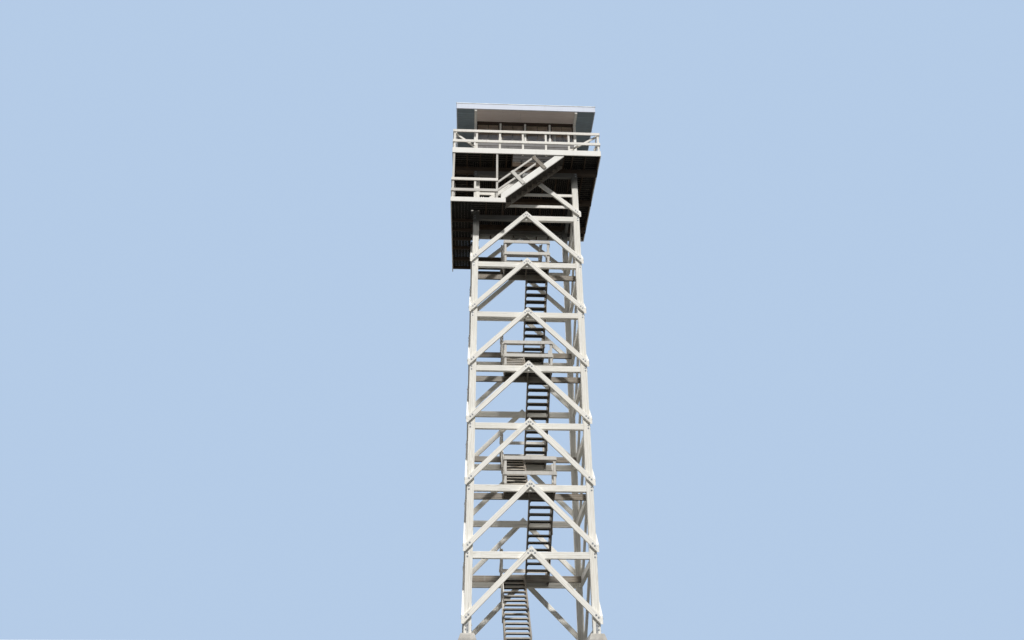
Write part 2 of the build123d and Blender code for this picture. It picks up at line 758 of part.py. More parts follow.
def door_leaf():
    """The half-glazed door, standing open inside the cab, square to the doorway.

    Two stiles, three rails and a panel, then the pane over the lock rail.
    """
    low, high = bay_edges()[0]
    hinge = low + DOOR_JAMB
    depth = (hinge - DOOR_THICKNESS, hinge)
    near = -CAB_INNER + HINGE_CLEARANCE
    far = near + high - low - 2 * DOOR_JAMB - 2 * DOOR_CLEARANCE
    foot = CAB_FLOOR + DOOR_CLEARANCE
    head = CAB_FLOOR + DOOR_HEIGHT - DOOR_CLEARANCE
    waist = CAB_FLOOR + DOOR_WAIST
    between = (near + DOOR_STILE, far - DOOR_STILE)
    timbers = [block(depth, edge, (foot, head)) for edge in ((near, between[0]), (between[1], far))]
    rails = ((foot, foot + DOOR_BOTTOM_RAIL), (waist - DOOR_LOCK_RAIL, waist), (head - DOOR_STILE, head))
    timbers += [block(depth, between, span) for span in rails]
    middle = hinge - DOOR_THICKNESS / 2
    timbers.append(block((middle - DOOR_PANEL / 2, middle + DOOR_PANEL / 2), between,
                         (rails[0][1], rails[1][0])))
    pane = block((middle - GLASS_THICKNESS / 2, middle + GLASS_THICKNESS / 2), between,
                 (waist, rails[2][0]))
    return on_side("right", timbers), on_side("right", [pane])


def windows():
    """Every window bay, as its side and its span along the wall."""
    return [
        (side, span)
        for side in TURNS for bay, span in enumerate(bay_edges())
        if not (side == "right" and bay == 0)
    ]


def window_sashes():
    """One sash to each bay, a frame about its pane."""
    frames = []
    middle = -(CAB_HALF + CAB_INNER) / 2
    depth = (middle - SASH_THICKNESS / 2, middle + SASH_THICKNESS / 2)
    for side, (low, high) in windows():
        outer = block((low, high), depth, (SILL_TOP, WALL_TOP))
        inner = block((low + SASH_WIDTH, high - SASH_WIDTH), depth,
                      (SILL_TOP + SASH_WIDTH, WALL_TOP - SASH_WIDTH))
        frames += on_side(side, [outer - inner])
    return frames


def window_glass():
    """The panes, each inside its sash."""
    panes = []
    middle = -(CAB_HALF + CAB_INNER) / 2
    depth = (middle - GLASS_THICKNESS / 2, middle + GLASS_THICKNESS / 2)
    for side, (low, high) in windows():
        pane = block((low + SASH_WIDTH, high - SASH_WIDTH), depth,
                     (SILL_TOP + SASH_WIDTH, WALL_TOP - SASH_WIDTH))
        panes += on_side(side, [pane])
    return panes


def cab_floor():
    """The cab's floor on the deck's joists."""
    return [block((-CAB_HALF, CAB_HALF), (-CAB_HALF, CAB_HALF), (JOIST_TOP, CAB_FLOOR))]


def soffit():
    """One sheet of boards that is the cab's ceiling and the eaves' underside."""
    return [block((-ROOF_INNER, ROOF_INNER), (-ROOF_INNER, ROOF_INNER),
                  (SOFFIT_BOTTOM, SOFFIT_BOTTOM + SOFFIT))]


def roof_frame():
    """Roof joists over the soffit, inside the fascia boards."""
    heights = (SOFFIT_BOTTOM + SOFFIT, FASCIA_TOP)
    half = JOIST_WIDTH / 2
    timbers = [
        block((x - half, x + half), (-ROOF_INNER + JOINT, ROOF_INNER - JOINT), heights)
        for x in spread(-ROOF_INNER + half + JOINT, ROOF_INNER - half - JOINT, ROOF_JOISTS)
    ]
    edge = (SOFFIT_BOTTOM, FASCIA_TOP)
    for side in (-1, 1):
        timbers.append(block((-ROOF_HALF, ROOF_HALF), (side * ROOF_HALF, side * ROOF_INNER), edge))
        timbers.append(block((side * ROOF_HALF, side * ROOF_INNER),
                             (-ROOF_INNER + JOINT, ROOF_INNER - JOINT), edge))
    return timbers


def roof():
    """The low hipped roof on the fascia boards, an even shell of four slopes and a flat crown.

    Each slope is a plank along its eave, mitred at the hips.
    """
    eave = ROOF_HALF + ROOF_LIP
    crown = CROWN_WIDTH / 2
    top = FASCIA_TOP + ROOF_EDGE
    section = [(-eave, FASCIA_TOP), (-ROOF_INNER, FASCIA_TOP), (-crown, FASCIA_TOP + ROOF_RISE),
               (-crown, top + ROOF_RISE), (-eave, top)]
    plan = Polygon((-eave, -eave), (eave, -eave), (crown, -crown), (-crown, -crown), align=None)
    mitred = Pos(0, 0, FASCIA_TOP) * extrude(plan, amount=ROOF_EDGE + ROOF_RISE)
    slope = plank_yz(section, (-eave, eave)) & mitred
    slopes = [piece for side in TURNS for piece in on_side(side, [slope])]
    return slopes + [block((-crown, crown), (-crown, crown), (FASCIA_TOP + ROOF_RISE, top + ROOF_RISE))]


def main():
    """Make every piece of the tower from the ground up and write each node."""
    os.makedirs("parts", exist_ok=True)
    save("footings", piers())
    for name, (x, y) in {"front_left_leg": (-1, -1), "front_right_leg": (1, -1),
                         "back_left_leg": (-1, 1), "back_right_leg": (1, 1)}.items():
        save(name, [leg(x * LEG_CENTRE, y * LEG_CENTRE)])
    for side in TURNS:
        levels = GIRTS[1:] if side == "front" else GIRTS
        skipped = ((PANELS - 1, -1),) if side == "left" else ()
        save(f"{side}_girts", on_side(side, face_girts(levels)))
        save(f"{side}_braces", on_side(side, face_braces(skipped)))

    save("landing_frames", landing_frames())
    save("landing_floors", landing_floors())
    save("stair_stringers", inner_stringers())
    save("rearward_treads", inner_treads(1))
    save("forward_treads", inner_treads(-1))
    save("stair_cleats", inner_cleats())
    save("stair_handrails", inner_handrails())
    save("landing_end_rails", landing_end_rails())
    save("landing_side_rails", landing_side_rails())

    save("guard_bars", guard_bars())
    save("way_out_post", [way_out_post()])
    save("walkway_frame", walkway_frame())
    save("walkway_floor", walkway_floor())
    save("walkway_hangers", hangers())
    front_rail, side_rail, rear_rail = walkway_rails()
    save("walkway_front_rail", front_rail)
    save("walkway_side_rail", side_rail)
    save("walkway_rear_rail", rear_rail)
    save("last_flight_stringers", last_flight_stringers())
    save("last_flight_treads", last_flight_treads())
    save("last_flight_cleats", last_flight_cleats())
    save("last_flight_handrail", last_flight_handrail())

    save("deck_beams", deck_beams())
    save("deck_joists", deck_joists())
    save("deck_rims", deck_rims())
    save("catwalk_floor", catwalk_floor())
    for side in TURNS:
        save(f"{side}_catwalk_rail", catwalk_rail(side))

    save("cab_floor", cab_floor())
    for side in TURNS:
        save(f"{side}_wall", lower_wall(side))
    save("cab_posts", cab_posts())
    save("wall_plates", wall_plates())
    save("door_frame", door_frame())
    door, door_pane = door_leaf()
    save("door_leaf", door)
    save("window_sashes", window_sashes())
    save("window_glass", window_glass() + door_pane)
    save("soffit", soffit())
    save("roof_frame", roof_frame())
    save("roof", roof())


main()
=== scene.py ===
"""A timber fire lookout tower, dressed in boards, bolts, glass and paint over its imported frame.

Lengths are in metres in the frame's own axes: +Z up, the front face looks along -Y.
"""
import logging
import math
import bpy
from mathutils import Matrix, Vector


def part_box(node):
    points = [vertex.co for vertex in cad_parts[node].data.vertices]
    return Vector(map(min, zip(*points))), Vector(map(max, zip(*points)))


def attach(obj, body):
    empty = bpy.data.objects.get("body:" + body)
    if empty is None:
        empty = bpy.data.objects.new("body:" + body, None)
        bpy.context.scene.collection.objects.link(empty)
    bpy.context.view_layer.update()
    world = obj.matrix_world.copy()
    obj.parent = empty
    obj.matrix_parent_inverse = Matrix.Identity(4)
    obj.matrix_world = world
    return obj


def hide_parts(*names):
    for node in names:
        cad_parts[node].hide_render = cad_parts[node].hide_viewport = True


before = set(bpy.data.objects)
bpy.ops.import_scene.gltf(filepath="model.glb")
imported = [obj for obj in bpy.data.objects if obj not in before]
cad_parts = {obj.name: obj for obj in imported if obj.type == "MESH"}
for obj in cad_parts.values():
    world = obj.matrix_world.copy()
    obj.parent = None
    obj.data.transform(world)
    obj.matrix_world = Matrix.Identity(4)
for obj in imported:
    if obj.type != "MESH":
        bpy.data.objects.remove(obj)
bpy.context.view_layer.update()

import zlib
from dataclasses import dataclass, replace
from enum import Enum
from typing import Callable, Iterable, Iterator, Sequence

import bmesh
import bpy
import numpy as np
from mathutils import Matrix, Vector

LOG = logging.getLogger("tower")
Array = np.ndarray
Triple = tuple[float, float, float]
Colour = Triple
Form = tuple[Array, list[Array]]  # corners and faces
Spots = tuple[Array, Array]  # places and the normals there
Socket = bpy.types.NodeSocket
Outputs = bpy.types.bpy_prop_collection
Value = Socket | float | Triple  # what a node's input takes
Inputs = dict[str | int, Value]

MERGE_DIGITS = 5  # decimals to which a solid's corners are merged
KEY_SEED, KEY_LIMIT = 11, 2 ** 20  # the random whole numbers that tell solids apart
EDGE_COSINE = 0.999  # faces whose normals agree less than this meet at a true edge
BESIDE_COSINE = 0.2  # a face whose normal agrees less than this with an edge lies along it
FLAT_ANGLE = 0.01  # triangles that turn by less, in radians, are one flat face
SHARP_ANGLE = math.radians(30)  # sharper edges are eased
HALF_JOINT = 0.0008  # between two upright boards
HEXAGON = 6
CHAMFER = 0.8  # a bolt head's width at its top and height at its rim, as parts of the whole
DECK_SHADE = (19.1, 19.9)  # heights between which shade sets in below the deck
WALKWAY_SHADE = (17.0, 17.5)  # and below the walkway
WALKWAY_LIGHT = (17.68, 17.73)  # heights between which it ends at the walkway's joists
VECTORS = ("Grain", "Half", "Place")  # the shader groups' vector inputs
SUN_COLOUR = (1.0, 0.985, 0.955)
SKY_FILL = (0.97, 0.99, 1.03)


class Slot(str, Enum):
    """Material slots of the record."""

    TIMBER = "weathered_timber"
    BOARDS = "walking_boards"
    RAIL = "painted_rail"
    WALL = "painted_wall"
    SOFFIT = "soffit_boards"
    FASCIA = "fascia_paint"
    ROOF = "roof_cover"
    SASH = "dark_sash"
    GLASS = "window_glass"
    CONCRETE = "concrete"


class Side(Enum):
    """Faces of the tower, each with its turn about Z from the front face in degrees."""

    FRONT = 0
    RIGHT = 90
    BACK = 180
    LEFT = 270

    @property
    def label(self) -> str:
        """The side's name in node names."""
        return self.name.lower()

    @property
    def frame(self) -> Array:
        """The side's own axes.

        Returns:
            Rows along the face, inwards and up.
        """
        angle = math.radians(self.value)
        cosine, sine = round(math.cos(angle)), round(math.sin(angle))
        return np.array([[cosine, sine, 0], [-sine, cosine, 0], [0, 0, 1]], float)


def sided(kind: str) -> tuple[str, ...]:
    """The four sides' nodes of one kind."""
    return tuple(f"{side.label}_{kind}" for side in Side)


def seeded(name: str) -> np.random.Generator:
    """Random numbers that follow from a name."""
    return np.random.default_rng(zlib.crc32(name.encode()))


@dataclass
class Solids:
    """Closed solids as whole arrays, each corner with its place in its own solid's frame.

    Grain holds a corner's place from its solid's middle, first along the fibres, half the
    solid's half sizes in that frame, and seed one random number for each solid.
    """

    points: Array
    faces: list[Array]
    grain: Array
    half: Array
    seed: Array


def gathered(parts: Sequence[Solids]) -> Solids:
    """Join several sets of solids.

    Args:
        parts: the sets to join.

    Returns:
        One set with all their corners and faces.
    """
    starts = np.cumsum([0] + [len(part.points) for part in parts])
    faces = [group + start for part, start in zip(parts, starts) for group in part.faces]
    stacked = {name: np.concatenate([getattr(part, name) for part in parts])
               for name in ("points", "grain", "half", "seed")}
    return Solids(faces=faces, **stacked)


CUBE: Form = (np.array([[x, y, z] for x in (-1, 1) for y in (-1, 1) for z in (-1, 1)], float),
              [np.array([[0, 1, 3, 2], [4, 6, 7, 5], [0, 4, 5, 1],
                         [2, 3, 7, 6], [0, 2, 6, 4], [1, 5, 7, 3]])])


def stamped(form: Form, places: Array, frames: Array, name: str, sizes: Array | float = 1.0) -> Solids:
    """Copies of one small closed form: corner = place + (form's corner * size) turned into its frame.

    Args:
        form: its corners, (V, 3), in its own frame, and its faces.
        places: the copies' places, (N, 3).
        frames: the copies' axes as rows, (N, 3, 3) or (3, 3).
        name: seeds the random numbers.
        sizes: how far each copy is stretched along its axes, (N, 3).

    Returns:
        The copies.
    """
    shape, faces = form
    places = np.atleast_2d(places)
    count, corners = len(places), len(shape)
    own = shape[None] * np.broadcast_to(sizes, (count, 3))[:, None]
    points = places[:, None] + np.einsum("nvi,nij->nvj", own, np.broadcast_to(frames, (count, 3, 3)))
    steps = (np.arange(count) * corners)[:, None, None]
    half = np.abs(own).max(axis=1)
    return Solids(points.reshape(-1, 3), [(face[None] + steps).reshape(-1, face.shape[1]) for face in faces],
                  own.reshape(-1, 3), np.repeat(half, corners, axis=0),
                  np.repeat(seeded(name).random(count), corners))


def timbers(low: Array, high: Array, along: int, name: str) -> Solids:
    """Squared pieces between two corners each, with the fibres along one axis.

    Args:
        low: lowest corners, (N, 3).
        high: highest corners, (N, 3).
        along: 0, 1 or 2 for fibres along X, Y or Z.
        name: seeds the random numbers.

    Returns:
        The pieces.
    """
    low, high = np.atleast_2d(low), np.atleast_2d(high)
    turn = np.roll(np.eye(3), -along, axis=0)
    return stamped(CUBE, (low + high) / 2, turn, name, (high - low) / 2 @ turn.T)


def upright_boards(low: Array, high: Array, count: int, name: str) -> Solids:
    """Boards side by side along X between two corners, with upright fibres.

    Args:
        low: the boards' lowest corner.
        high: their highest corner.
        count: how many.
        name: seeds the random numbers.

    Returns:
        The boards.
    """
    edges = np.linspace(low[0], high[0], count + 1)
    lows, highs = np.tile(low, (count, 1)), np.tile(high, (count, 1))
    lows[:, 0], highs[:, 0] = edges[:-1] + HALF_JOINT, edges[1:] - HALF_JOINT
    return timbers(lows, highs, 2, name)


def quads(rows: int, columns: int, closed: bool = False) -> Array:
    """Faces of a grid whose corners are numbered row by row.

    Args:
        rows: number of rows.
        columns: corners in a row.
        closed: True if each row joins its own start.

    Returns:
        Four corner numbers for each face.
    """
    steps = columns if closed else columns - 1
    row, step = np.meshgrid(np.arange(rows - 1), np.arange(steps), indexing="ij")
    ahead = (step + 1) % columns
    return np.stack([row * columns + step, row * columns + ahead,
                     (row + 1) * columns + ahead, (row + 1) * columns + step], axis=-1).reshape(-1, 4)


def lathe(profile: Sequence[tuple[float, float]], sides: int) -> Form:
    """A closed form turned about its third axis: ring i is (r cos a, r sin a, h) of profile i.

    Args:
        profile: radius and height of each ring, from the base up.
        sides: number of sides.

    Returns:
        Its corners and faces.
    """
    radius, height = np.array(profile).T
    angle = np.arange(sides) * 2 * math.pi / sides
    rings = np.stack([radius[:, None] * np.cos(angle), radius[:, None] * np.sin(angle),
                      np.repeat(height[:, None], sides, axis=1)], axis=-1)
    base = np.arange(sides)[::-1]
    crown = (len(radius) - 1) * sides + np.arange(sides)
    return rings.reshape(-1, 3), [quads(len(radius), sides, True), base[None], crown[None]]


def facing(outward: Array) -> Array:
    """Axes whose third row looks outward and whose second row is upright.

    Args:
        outward: level directions of length one, (N, 3).

    Returns:
        Axes as rows, (N, 3, 3).
    """
    up = np.broadcast_to([0.0, 0.0, 1.0], outward.shape)
    return np.stack([np.cross(up, outward), up, outward], axis=1)


def runs(values: Array) -> Array:
    """Where each run of equal values starts in a sorted array."""
    return np.flatnonzero(np.concatenate(([True], values[1:] != values[:-1])))


def best(score: Array, owner: Array) -> Array:
    """The entry with the highest score for each owner.

    Args:
        score: every entry's score.
        owner: every entry's owner, a whole number.

    Returns:
        The entries' numbers, one for each owner in order.
    """
    ranked = np.lexsort((score, owner))
    return ranked[np.append(runs(owner[ranked])[1:], len(ranked)) - 1]


@dataclass
class CadSolids:
    """A CAD node's solids with merged corners, and the frame and place of each solid."""

    solids: Solids
    owner: Array
    centre: Array
    axes: Array
    half: Array
    low: Array
    high: Array

    def chosen(self, wanted: Array) -> Solids:
        """Some of the solids.

        Args:
            wanted: True for each solid to take, (N,).

        Returns:
            Their geometry.
        """
        keep = wanted[self.owner]
        number = np.cumsum(keep) - 1
        triangles = self.solids.faces[0]
        return Solids(self.solids.points[keep], [number[triangles[keep[triangles[:, 0]]]]],
                      self.solids.grain[keep], self.solids.half[keep], self.solids.seed[keep])


def cad_solids(node: str) -> CadSolids:
    """A CAD node's triangles, split into solids and merged inside each.

    A triangle's directed edge from place a to b counts r(a)s(b) - r(b)s(a), with random
    whole numbers r and s for each place. That is zero over a closed solid, so the
    running sum falls to zero at each solid's last triangle. A solid's first axis is its longest
    true edge and its third the normal of its widest face along that edge.

    Args:
        node: the node's name.

    Returns:
        The solids.
    """
    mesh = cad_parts[node].data
    mesh.calc_loop_triangles()
    points = np.empty(len(mesh.vertices) * 3, np.float32)
    mesh.vertices.foreach_get("co", points)
    corners = np.empty(len(mesh.loop_triangles) * 3, np.int32)
    mesh.loop_triangles.foreach_get("vertices", corners)
    rounded = np.round(points.reshape(-1, 3).astype(float), MERGE_DIGITS)
    places, number = np.unique(rounded, axis=0, return_inverse=True)
    corners = number.reshape(-1)[corners].reshape(-1, 3)
    draw = np.random.default_rng(KEY_SEED).integers(1, KEY_LIMIT, (2, len(places)))
    ahead = np.roll(corners, -1, axis=1)
    flux = (draw[0][corners] * draw[1][ahead] - draw[0][ahead] * draw[1][corners]).sum(axis=1)
    owner = np.concatenate(([0], np.cumsum(np.cumsum(flux) == 0)[:-1]))
    keys, triangles = np.unique(owner[:, None] * len(places) + corners, return_inverse=True)
    triangles = triangles.reshape(-1, 3)
    points, solid = places[keys % len(places)], keys // len(places)

    first, second, third = points[triangles].transpose(1, 0, 2)
    normal = np.cross(second - first, third - first)
    area = np.linalg.norm(normal, axis=1)
    normal /= area[:, None]
    edges = np.sort(np.stack([triangles, np.roll(triangles, -1, axis=1)], axis=-1).reshape(-1, 2), axis=1)
    order = np.lexsort((edges[:, 1], edges[:, 0]))
    one, two = order[0::2], order[1::2]
    bent = (normal[one // 3] * normal[two // 3]).sum(axis=1) < EDGE_COSINE
    span = points[edges[one, 1]] - points[edges[one, 0]]
    length = np.linalg.norm(span, axis=1)
    longest = best(length * bent, solid[edges[one, 0]])
    along = span[longest] / length[longest, None]
    beside = np.abs((normal * along[owner]).sum(axis=1)) < BESIDE_COSINE
    thick = normal[best(area * beside, owner)]
    thick = thick - (thick * along).sum(axis=1)[:, None] * along
    thick /= np.linalg.norm(thick, axis=1)[:, None]
    axes = np.stack([along, np.cross(thick, along), thick], axis=1)

    starts = runs(solid)
    own = np.einsum("vi,vji->vj", points, axes[solid])
    low, high = np.minimum.reduceat(own, starts), np.maximum.reduceat(own, starts)
    middle, half = (low + high) / 2, (high - low) / 2
    seeds = seeded(node).random(len(starts))
    solids = Solids(points, [triangles], own - middle[solid], half[solid], seeds[solid])
    return CadSolids(solids, solid, np.einsum("ni,nij->nj", middle, axes), axes, half,
                     np.minimum.reduceat(points, starts), np.maximum.reduceat(points, starts))


def placed(name: str, data: bpy.types.ID) -> bpy.types.Object:
    """Put a new object in the scene.

    Args:
        name: its name.
        data: its mesh, lamp or camera.

    Returns:
        The object, at the origin.
    """
    thing = bpy.data.objects.new(name, data)
    bpy.context.scene.collection.objects.link(thing)
    return thing


def make_object(name: str, solids: Solids, material: bpy.types.Material, slot: Slot,
                nodes: Sequence[str] = (), bevel: float = 0.0) -> None:
    """Turn solids into one piece that rides on the tower.

    Args:
        name: the piece's name.
        solids: its geometry.
        material: its material.
        slot: the record's material slot; not used.
        nodes: the CAD nodes that it stands for.
        bevel: width of the eased edges, none if 0.
    """
    mesh = bpy.data.meshes.new(name)
    mesh.from_pydata(solids.points.tolist(), [], [face for group in solids.faces for face in group.tolist()])
    for key, values in (("grain", solids.grain), ("half", solids.half)):
        mesh.attributes.new(key, "FLOAT_VECTOR", "POINT").data.foreach_set("vector", values.ravel())
    mesh.attributes.new("seed", "FLOAT", "POINT").data.foreach_set("value", solids.seed)
    if any(group.shape[1] == 3 for group in solids.faces):
        flat = bmesh.new()
        flat.from_mesh(mesh)
        bmesh.ops.dissolve_limit(flat, angle_limit=FLAT_ANGLE, verts=flat.verts, edges=flat.edges)
        flat.to_mesh(mesh)
        flat.free()
    mesh.materials.append(material)
    mesh.update()
    piece = placed(name, mesh)
    if bevel:
        eased = piece.modifiers.new("eased_edges", "BEVEL")
        eased.width, eased.segments = bevel, 2
        eased.limit_method, eased.angle_limit = "ANGLE", SHARP_ANGLE
    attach(piece, "root")
    if nodes:
        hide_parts(*nodes)
    LOG.info("%s: %d faces", name, len(mesh.polygons))


def scaled(colour: Colour, part: float) -> Colour:
    """A colour times a number."""
    return tuple(part * value for value in colour)


class Graph:
    """Short calls that add and join the nodes of one material or shader group."""

    def __init__(self, tree: bpy.types.NodeTree) -> None:
        """Work on this node tree."""
        self.tree = tree

    @classmethod
    def emptied(cls, owner: bpy.types.Material | bpy.types.World) -> "Graph":
        """Empty a node tree.

        Args:
            owner: the material or world that has it.

        Returns:
            A graph to fill it.
        """
        owner.use_nodes = True
        owner.node_tree.nodes.clear()
        return cls(owner.node_tree)

    def add(self, kind: str, inputs: Inputs | None = None, **settings: object) -> Outputs:
        """Add a node.

        Args:
            kind: its type, without ShaderNode.
            inputs: values or sockets for its inputs, by name or number.
            settings: its properties.

        Returns:
            The node's outputs.
        """
        node = self.tree.nodes.new("ShaderNode" + kind)
        for key, value in settings.items():
            setattr(node, key, value)
        for key, value in (inputs or {}).items():
            socket = node.inputs[key]
            if isinstance(value, Socket):
                self.tree.links.new(value, socket)
            elif socket.type == "RGBA":
                socket.default_value = (*value, 1.0)
            else:
                socket.default_value = value
        return node.outputs

    def math(self, operation: str, *values: Value) -> Socket:
        """The result of a Math node on up to three values."""
        return self.add("Math", dict(enumerate(values)), operation=operation)[0]

    def times(self, first: Value, second: Value) -> Socket:
        """The product of two values."""
        return self.math("MULTIPLY", first, second)

    def plus(self, first: Value, second: Value) -> Socket:
        """The sum of two values."""
        return self.math("ADD", first, second)

    def vector(self, operation: str, *values: Value) -> Socket:
        """The vector result of a Vector Math node."""
        return self.add("VectorMath", dict(enumerate(values)), operation=operation)[0]

    def scale(self, vector: Value, factor: Value) -> Socket:
        """A vector or colour times a value."""
        return self.add("VectorMath", {0: vector, "Scale": factor}, operation="SCALE")[0]

    def split(self, vector: Socket) -> Outputs:
        """A vector's three parts."""
        return self.add("SeparateXYZ", {0: vector})

    def ramp(self, value: Socket, low: float, high: float, start: float = 0.0, end: float = 1.0) -> Socket:
        """A value eased from start to end as it goes from low to high."""
        inputs = {"Value": value, "From Min": low, "From Max": high, "To Min": start, "To Max": end}
        return self.add("MapRange", inputs, interpolation_type="SMOOTHSTEP")[0]

    def mix(self, colour: Value, *coats: tuple[Value, Value]) -> Socket:
        """Lay coats over a colour.

        Args:
            colour: the lowest colour.
            coats: a mask and a colour for each coat, from below.

        Returns:
            The colour that shows.
        """
        for mask, coat in coats:
            colour = self.add("Mix", {0: mask, 6: colour, 7: coat}, data_type="RGBA")[2]
        return colour

    def noise(self, place: Socket, waves: Triple, detail: float = 3.0, distortion: float = 0.0) -> Socket:
        """Noise with its own number of waves a metre along each axis."""
        return self.add("TexNoise", {"Vector": self.vector("MULTIPLY", place, waves), "Scale": 1.0,
                                     "Detail": detail, "Distortion": distortion})[0]

    def attribute(self, name: str) -> Outputs:
        """A mesh attribute."""
        return self.add("Attribute", attribute_name=name)

    def position(self) -> Socket:
        """Object coordinates."""
        return self.add("TexCoord")["Object"]

    def group(self, draw: Callable[["Graph", Outputs], Inputs], **inputs: Value) -> Outputs:
        """Place an effect's shader group, which is built the first time.

        Args:
            draw: makes its nodes from a graph and the inputs' sockets, and gives its outputs' sockets.
            inputs: a value or socket for each input, a vector if its name is in VECTORS.

        Returns:
            The group's outputs here.
        """
        tree = bpy.data.node_groups.get(draw.__name__)
        if not tree:
            tree = bpy.data.node_groups.new(draw.__name__, "ShaderNodeTree")
            for key in inputs:
                kind = "NodeSocketVector" if key in VECTORS else "NodeSocketFloat"
                tree.interface.new_socket(name=key, in_out="INPUT", socket_type=kind)
            sockets = draw(Graph(tree), tree.nodes.new("NodeGroupInput").outputs)
            for key in sockets:
                tree.interface.new_socket(name=key, in_out="OUTPUT", socket_type="NodeSocketFloat")
            end = tree.nodes.new("NodeGroupOutput")
            for key, socket in sockets.items():
                tree.links.new(socket, end.inputs[key])
        return self.add("Group", inputs, node_tree=tree)


def timber_figure(graph: Graph, given: Outputs) -> Inputs:
    """Sawn timber: rings about the fibres, fibres, drying checks.

    Args:
        graph: the group's nodes.
        given: its inputs: Grain, the place in the solid's own axes, and Seed.

    Returns:
        Its outputs: Figure, Fibre and Checks, 0 to 1.
    """
    place = graph.vector("ADD", given["Grain"], graph.scale((31.7, 17.3, 23.9), given["Seed"]))
    rings = graph.add("TexWave", {"Vector": graph.vector("MULTIPLY", place, (0.12, 1.0, 1.0)), "Scale": 7.0,
                                  "Distortion": 5.0, "Detail": 2.0, "Detail Scale": 2.5},
                      wave_type="RINGS", rings_direction="X")["Fac"]
    fibre = graph.noise(place, (5.0, 190.0, 190.0), 2.0)
    broad = graph.noise(place, (0.7, 9.0, 9.0))
    fine = graph.plus(graph.times(fibre, 0.25), graph.times(broad, 0.45))
    crack = graph.ramp(graph.noise(place, (1.3, 46.0, 46.0), 2.0), 0.62, 0.70)
    where = graph.ramp(graph.noise(place, (0.8, 6.0, 6.0), 1.0), 0.50, 0.62)
    return {"Figure": graph.plus(graph.times(rings, 0.35), fine), "Fibre": fibre,
            "Checks": graph.times(crack, where)}


def worn_edges(graph: Graph, given: Outputs) -> Inputs:
    """Edges, where the middle one of a place's three depths below the faces is small, and ends.

    Args:
        graph: the group's nodes.
        given: its inputs: Grain, Half, the solid's half sizes, and Width, how far wear reaches in.

    Returns:
        Its outputs: Edge and End, 1 at the edge or end itself.
    """
    x, y, z = graph.split(graph.vector("SUBTRACT", given["Half"], graph.vector("ABSOLUTE", given["Grain"])))
    lesser, greater = graph.math("MINIMUM", x, y), graph.math("MAXIMUM", x, y)
    middle = graph.math("MAXIMUM", lesser, graph.math("MINIMUM", greater, z))
    ragged = graph.noise(given["Grain"], (14.0, 30.0, 30.0))
    reach = graph.times(given["Width"], graph.ramp(ragged, 0.35, 0.75, 0.2, 1.8))
    edge = graph.math("SUBTRACT", 1.0, graph.math("DIVIDE", middle, reach))
    return {"Edge": graph.math("MAXIMUM", edge, 0.0), "End": graph.ramp(x, 0.002, 0.012, 1.0, 0.0)}


def weather(graph: Graph, given: Outputs) -> Inputs:
    """Weather: streaks that run down, broad patches and fine grime.

    Args:
        graph: the group's nodes.
        given: its inputs: Place, the object's coordinates.

    Returns:
        Its outputs: Streaks, Patches and Grime, 0 to 1.
    """
    place = given["Place"]
    return {"Streaks": graph.ramp(graph.noise(place, (11.0, 11.0, 0.9), 4.0), 0.50, 0.74),
            "Patches": graph.ramp(graph.noise(place, (0.9, 0.9, 0.7), 4.0, 0.6), 0.38, 0.66),
            "Grime": graph.ramp(graph.noise(place, (38.0, 38.0, 30.0)), 0.45, 0.75)}


def shelter(graph: Graph, given: Outputs) -> Inputs:
    """Painted shade: close under the deck, and under the walkway's front end and left corner.

    Args:
        graph: the group's nodes.
        given: its inputs: Place, the object's coordinates.

    Returns:
        Its outputs: Deck, Landing and Corner, 1 where the painted shade is darkest.
    """
    x, _, z = graph.split(given["Place"])
    height = graph.plus(z, graph.times(graph.noise(given["Place"], (5.0, 5.0, 1.2)), 0.5))
    under = graph.times(graph.ramp(height, *WALKWAY_SHADE), graph.ramp(z, *WALKWAY_LIGHT, 1.0, 0.0))
    return {"Deck": graph.ramp(height, *DECK_SHADE),
            "Landing": graph.times(under, graph.ramp(x, -0.5, 0.0, 1.0, 0.0)),
            "Corner": graph.times(under, graph.ramp(x, -1.9, -1.6, 1.0, 0.0))}


@dataclass(frozen=True)
class Finish:
    """A finish on the Principled shader."""

    name: str

    def inputs(self, graph: Graph) -> Inputs:
        """Draw the finish.

        Args:
            graph: the material's nodes.

        Returns:
            The shader's inputs, with Height and Depth where it has a bump.
        """
        raise NotImplementedError

    def material(self) -> bpy.types.Material:
        """The finish's material, built once.

        Returns:
            The material.
        """
        material = bpy.data.materials.get(self.name)
        if material:
            return material
        material = bpy.data.materials.new(self.name)
        graph = Graph.emptied(material)
        inputs = self.inputs(graph)
        if "Height" in inputs:
            bump = {"Strength": 1.0, "Distance": inputs.pop("Depth"), "Height": inputs.pop("Height")}
            inputs["Normal"] = graph.add("Bump", bump)[0]
        graph.add("OutputMaterial", {"Surface": graph.add("BsdfPrincipled", inputs)[0]})
        return material


@dataclass(frozen=True)
class Sawn(Finish):
    """What bare and painted timber share."""

    def surface(self, graph: Graph, wear_width: float,
                variety: float) -> tuple[Socket, Socket, Outputs, Outputs, Outputs]:
        """What shows on any timber.

        Args:
            graph: the material's nodes.
            wear_width: how far wear reaches in from the edges.
            variety: spreads the solids' seeds.

        Returns:
            Grain coordinates, one random number for each solid, and the outputs of the timber
            figure, the worn edges and the weather.
        """
        grain, seed = graph.attribute("grain")["Vector"], graph.attribute("seed")["Fac"]
        half = graph.attribute("half")["Vector"]
        return (grain, graph.math("FRACT", graph.times(seed, variety)),
                graph.group(timber_figure, Grain=grain, Seed=seed),
                graph.group(worn_edges, Grain=grain, Half=half, Width=wear_width),
                graph.group(weather, Place=graph.position()))


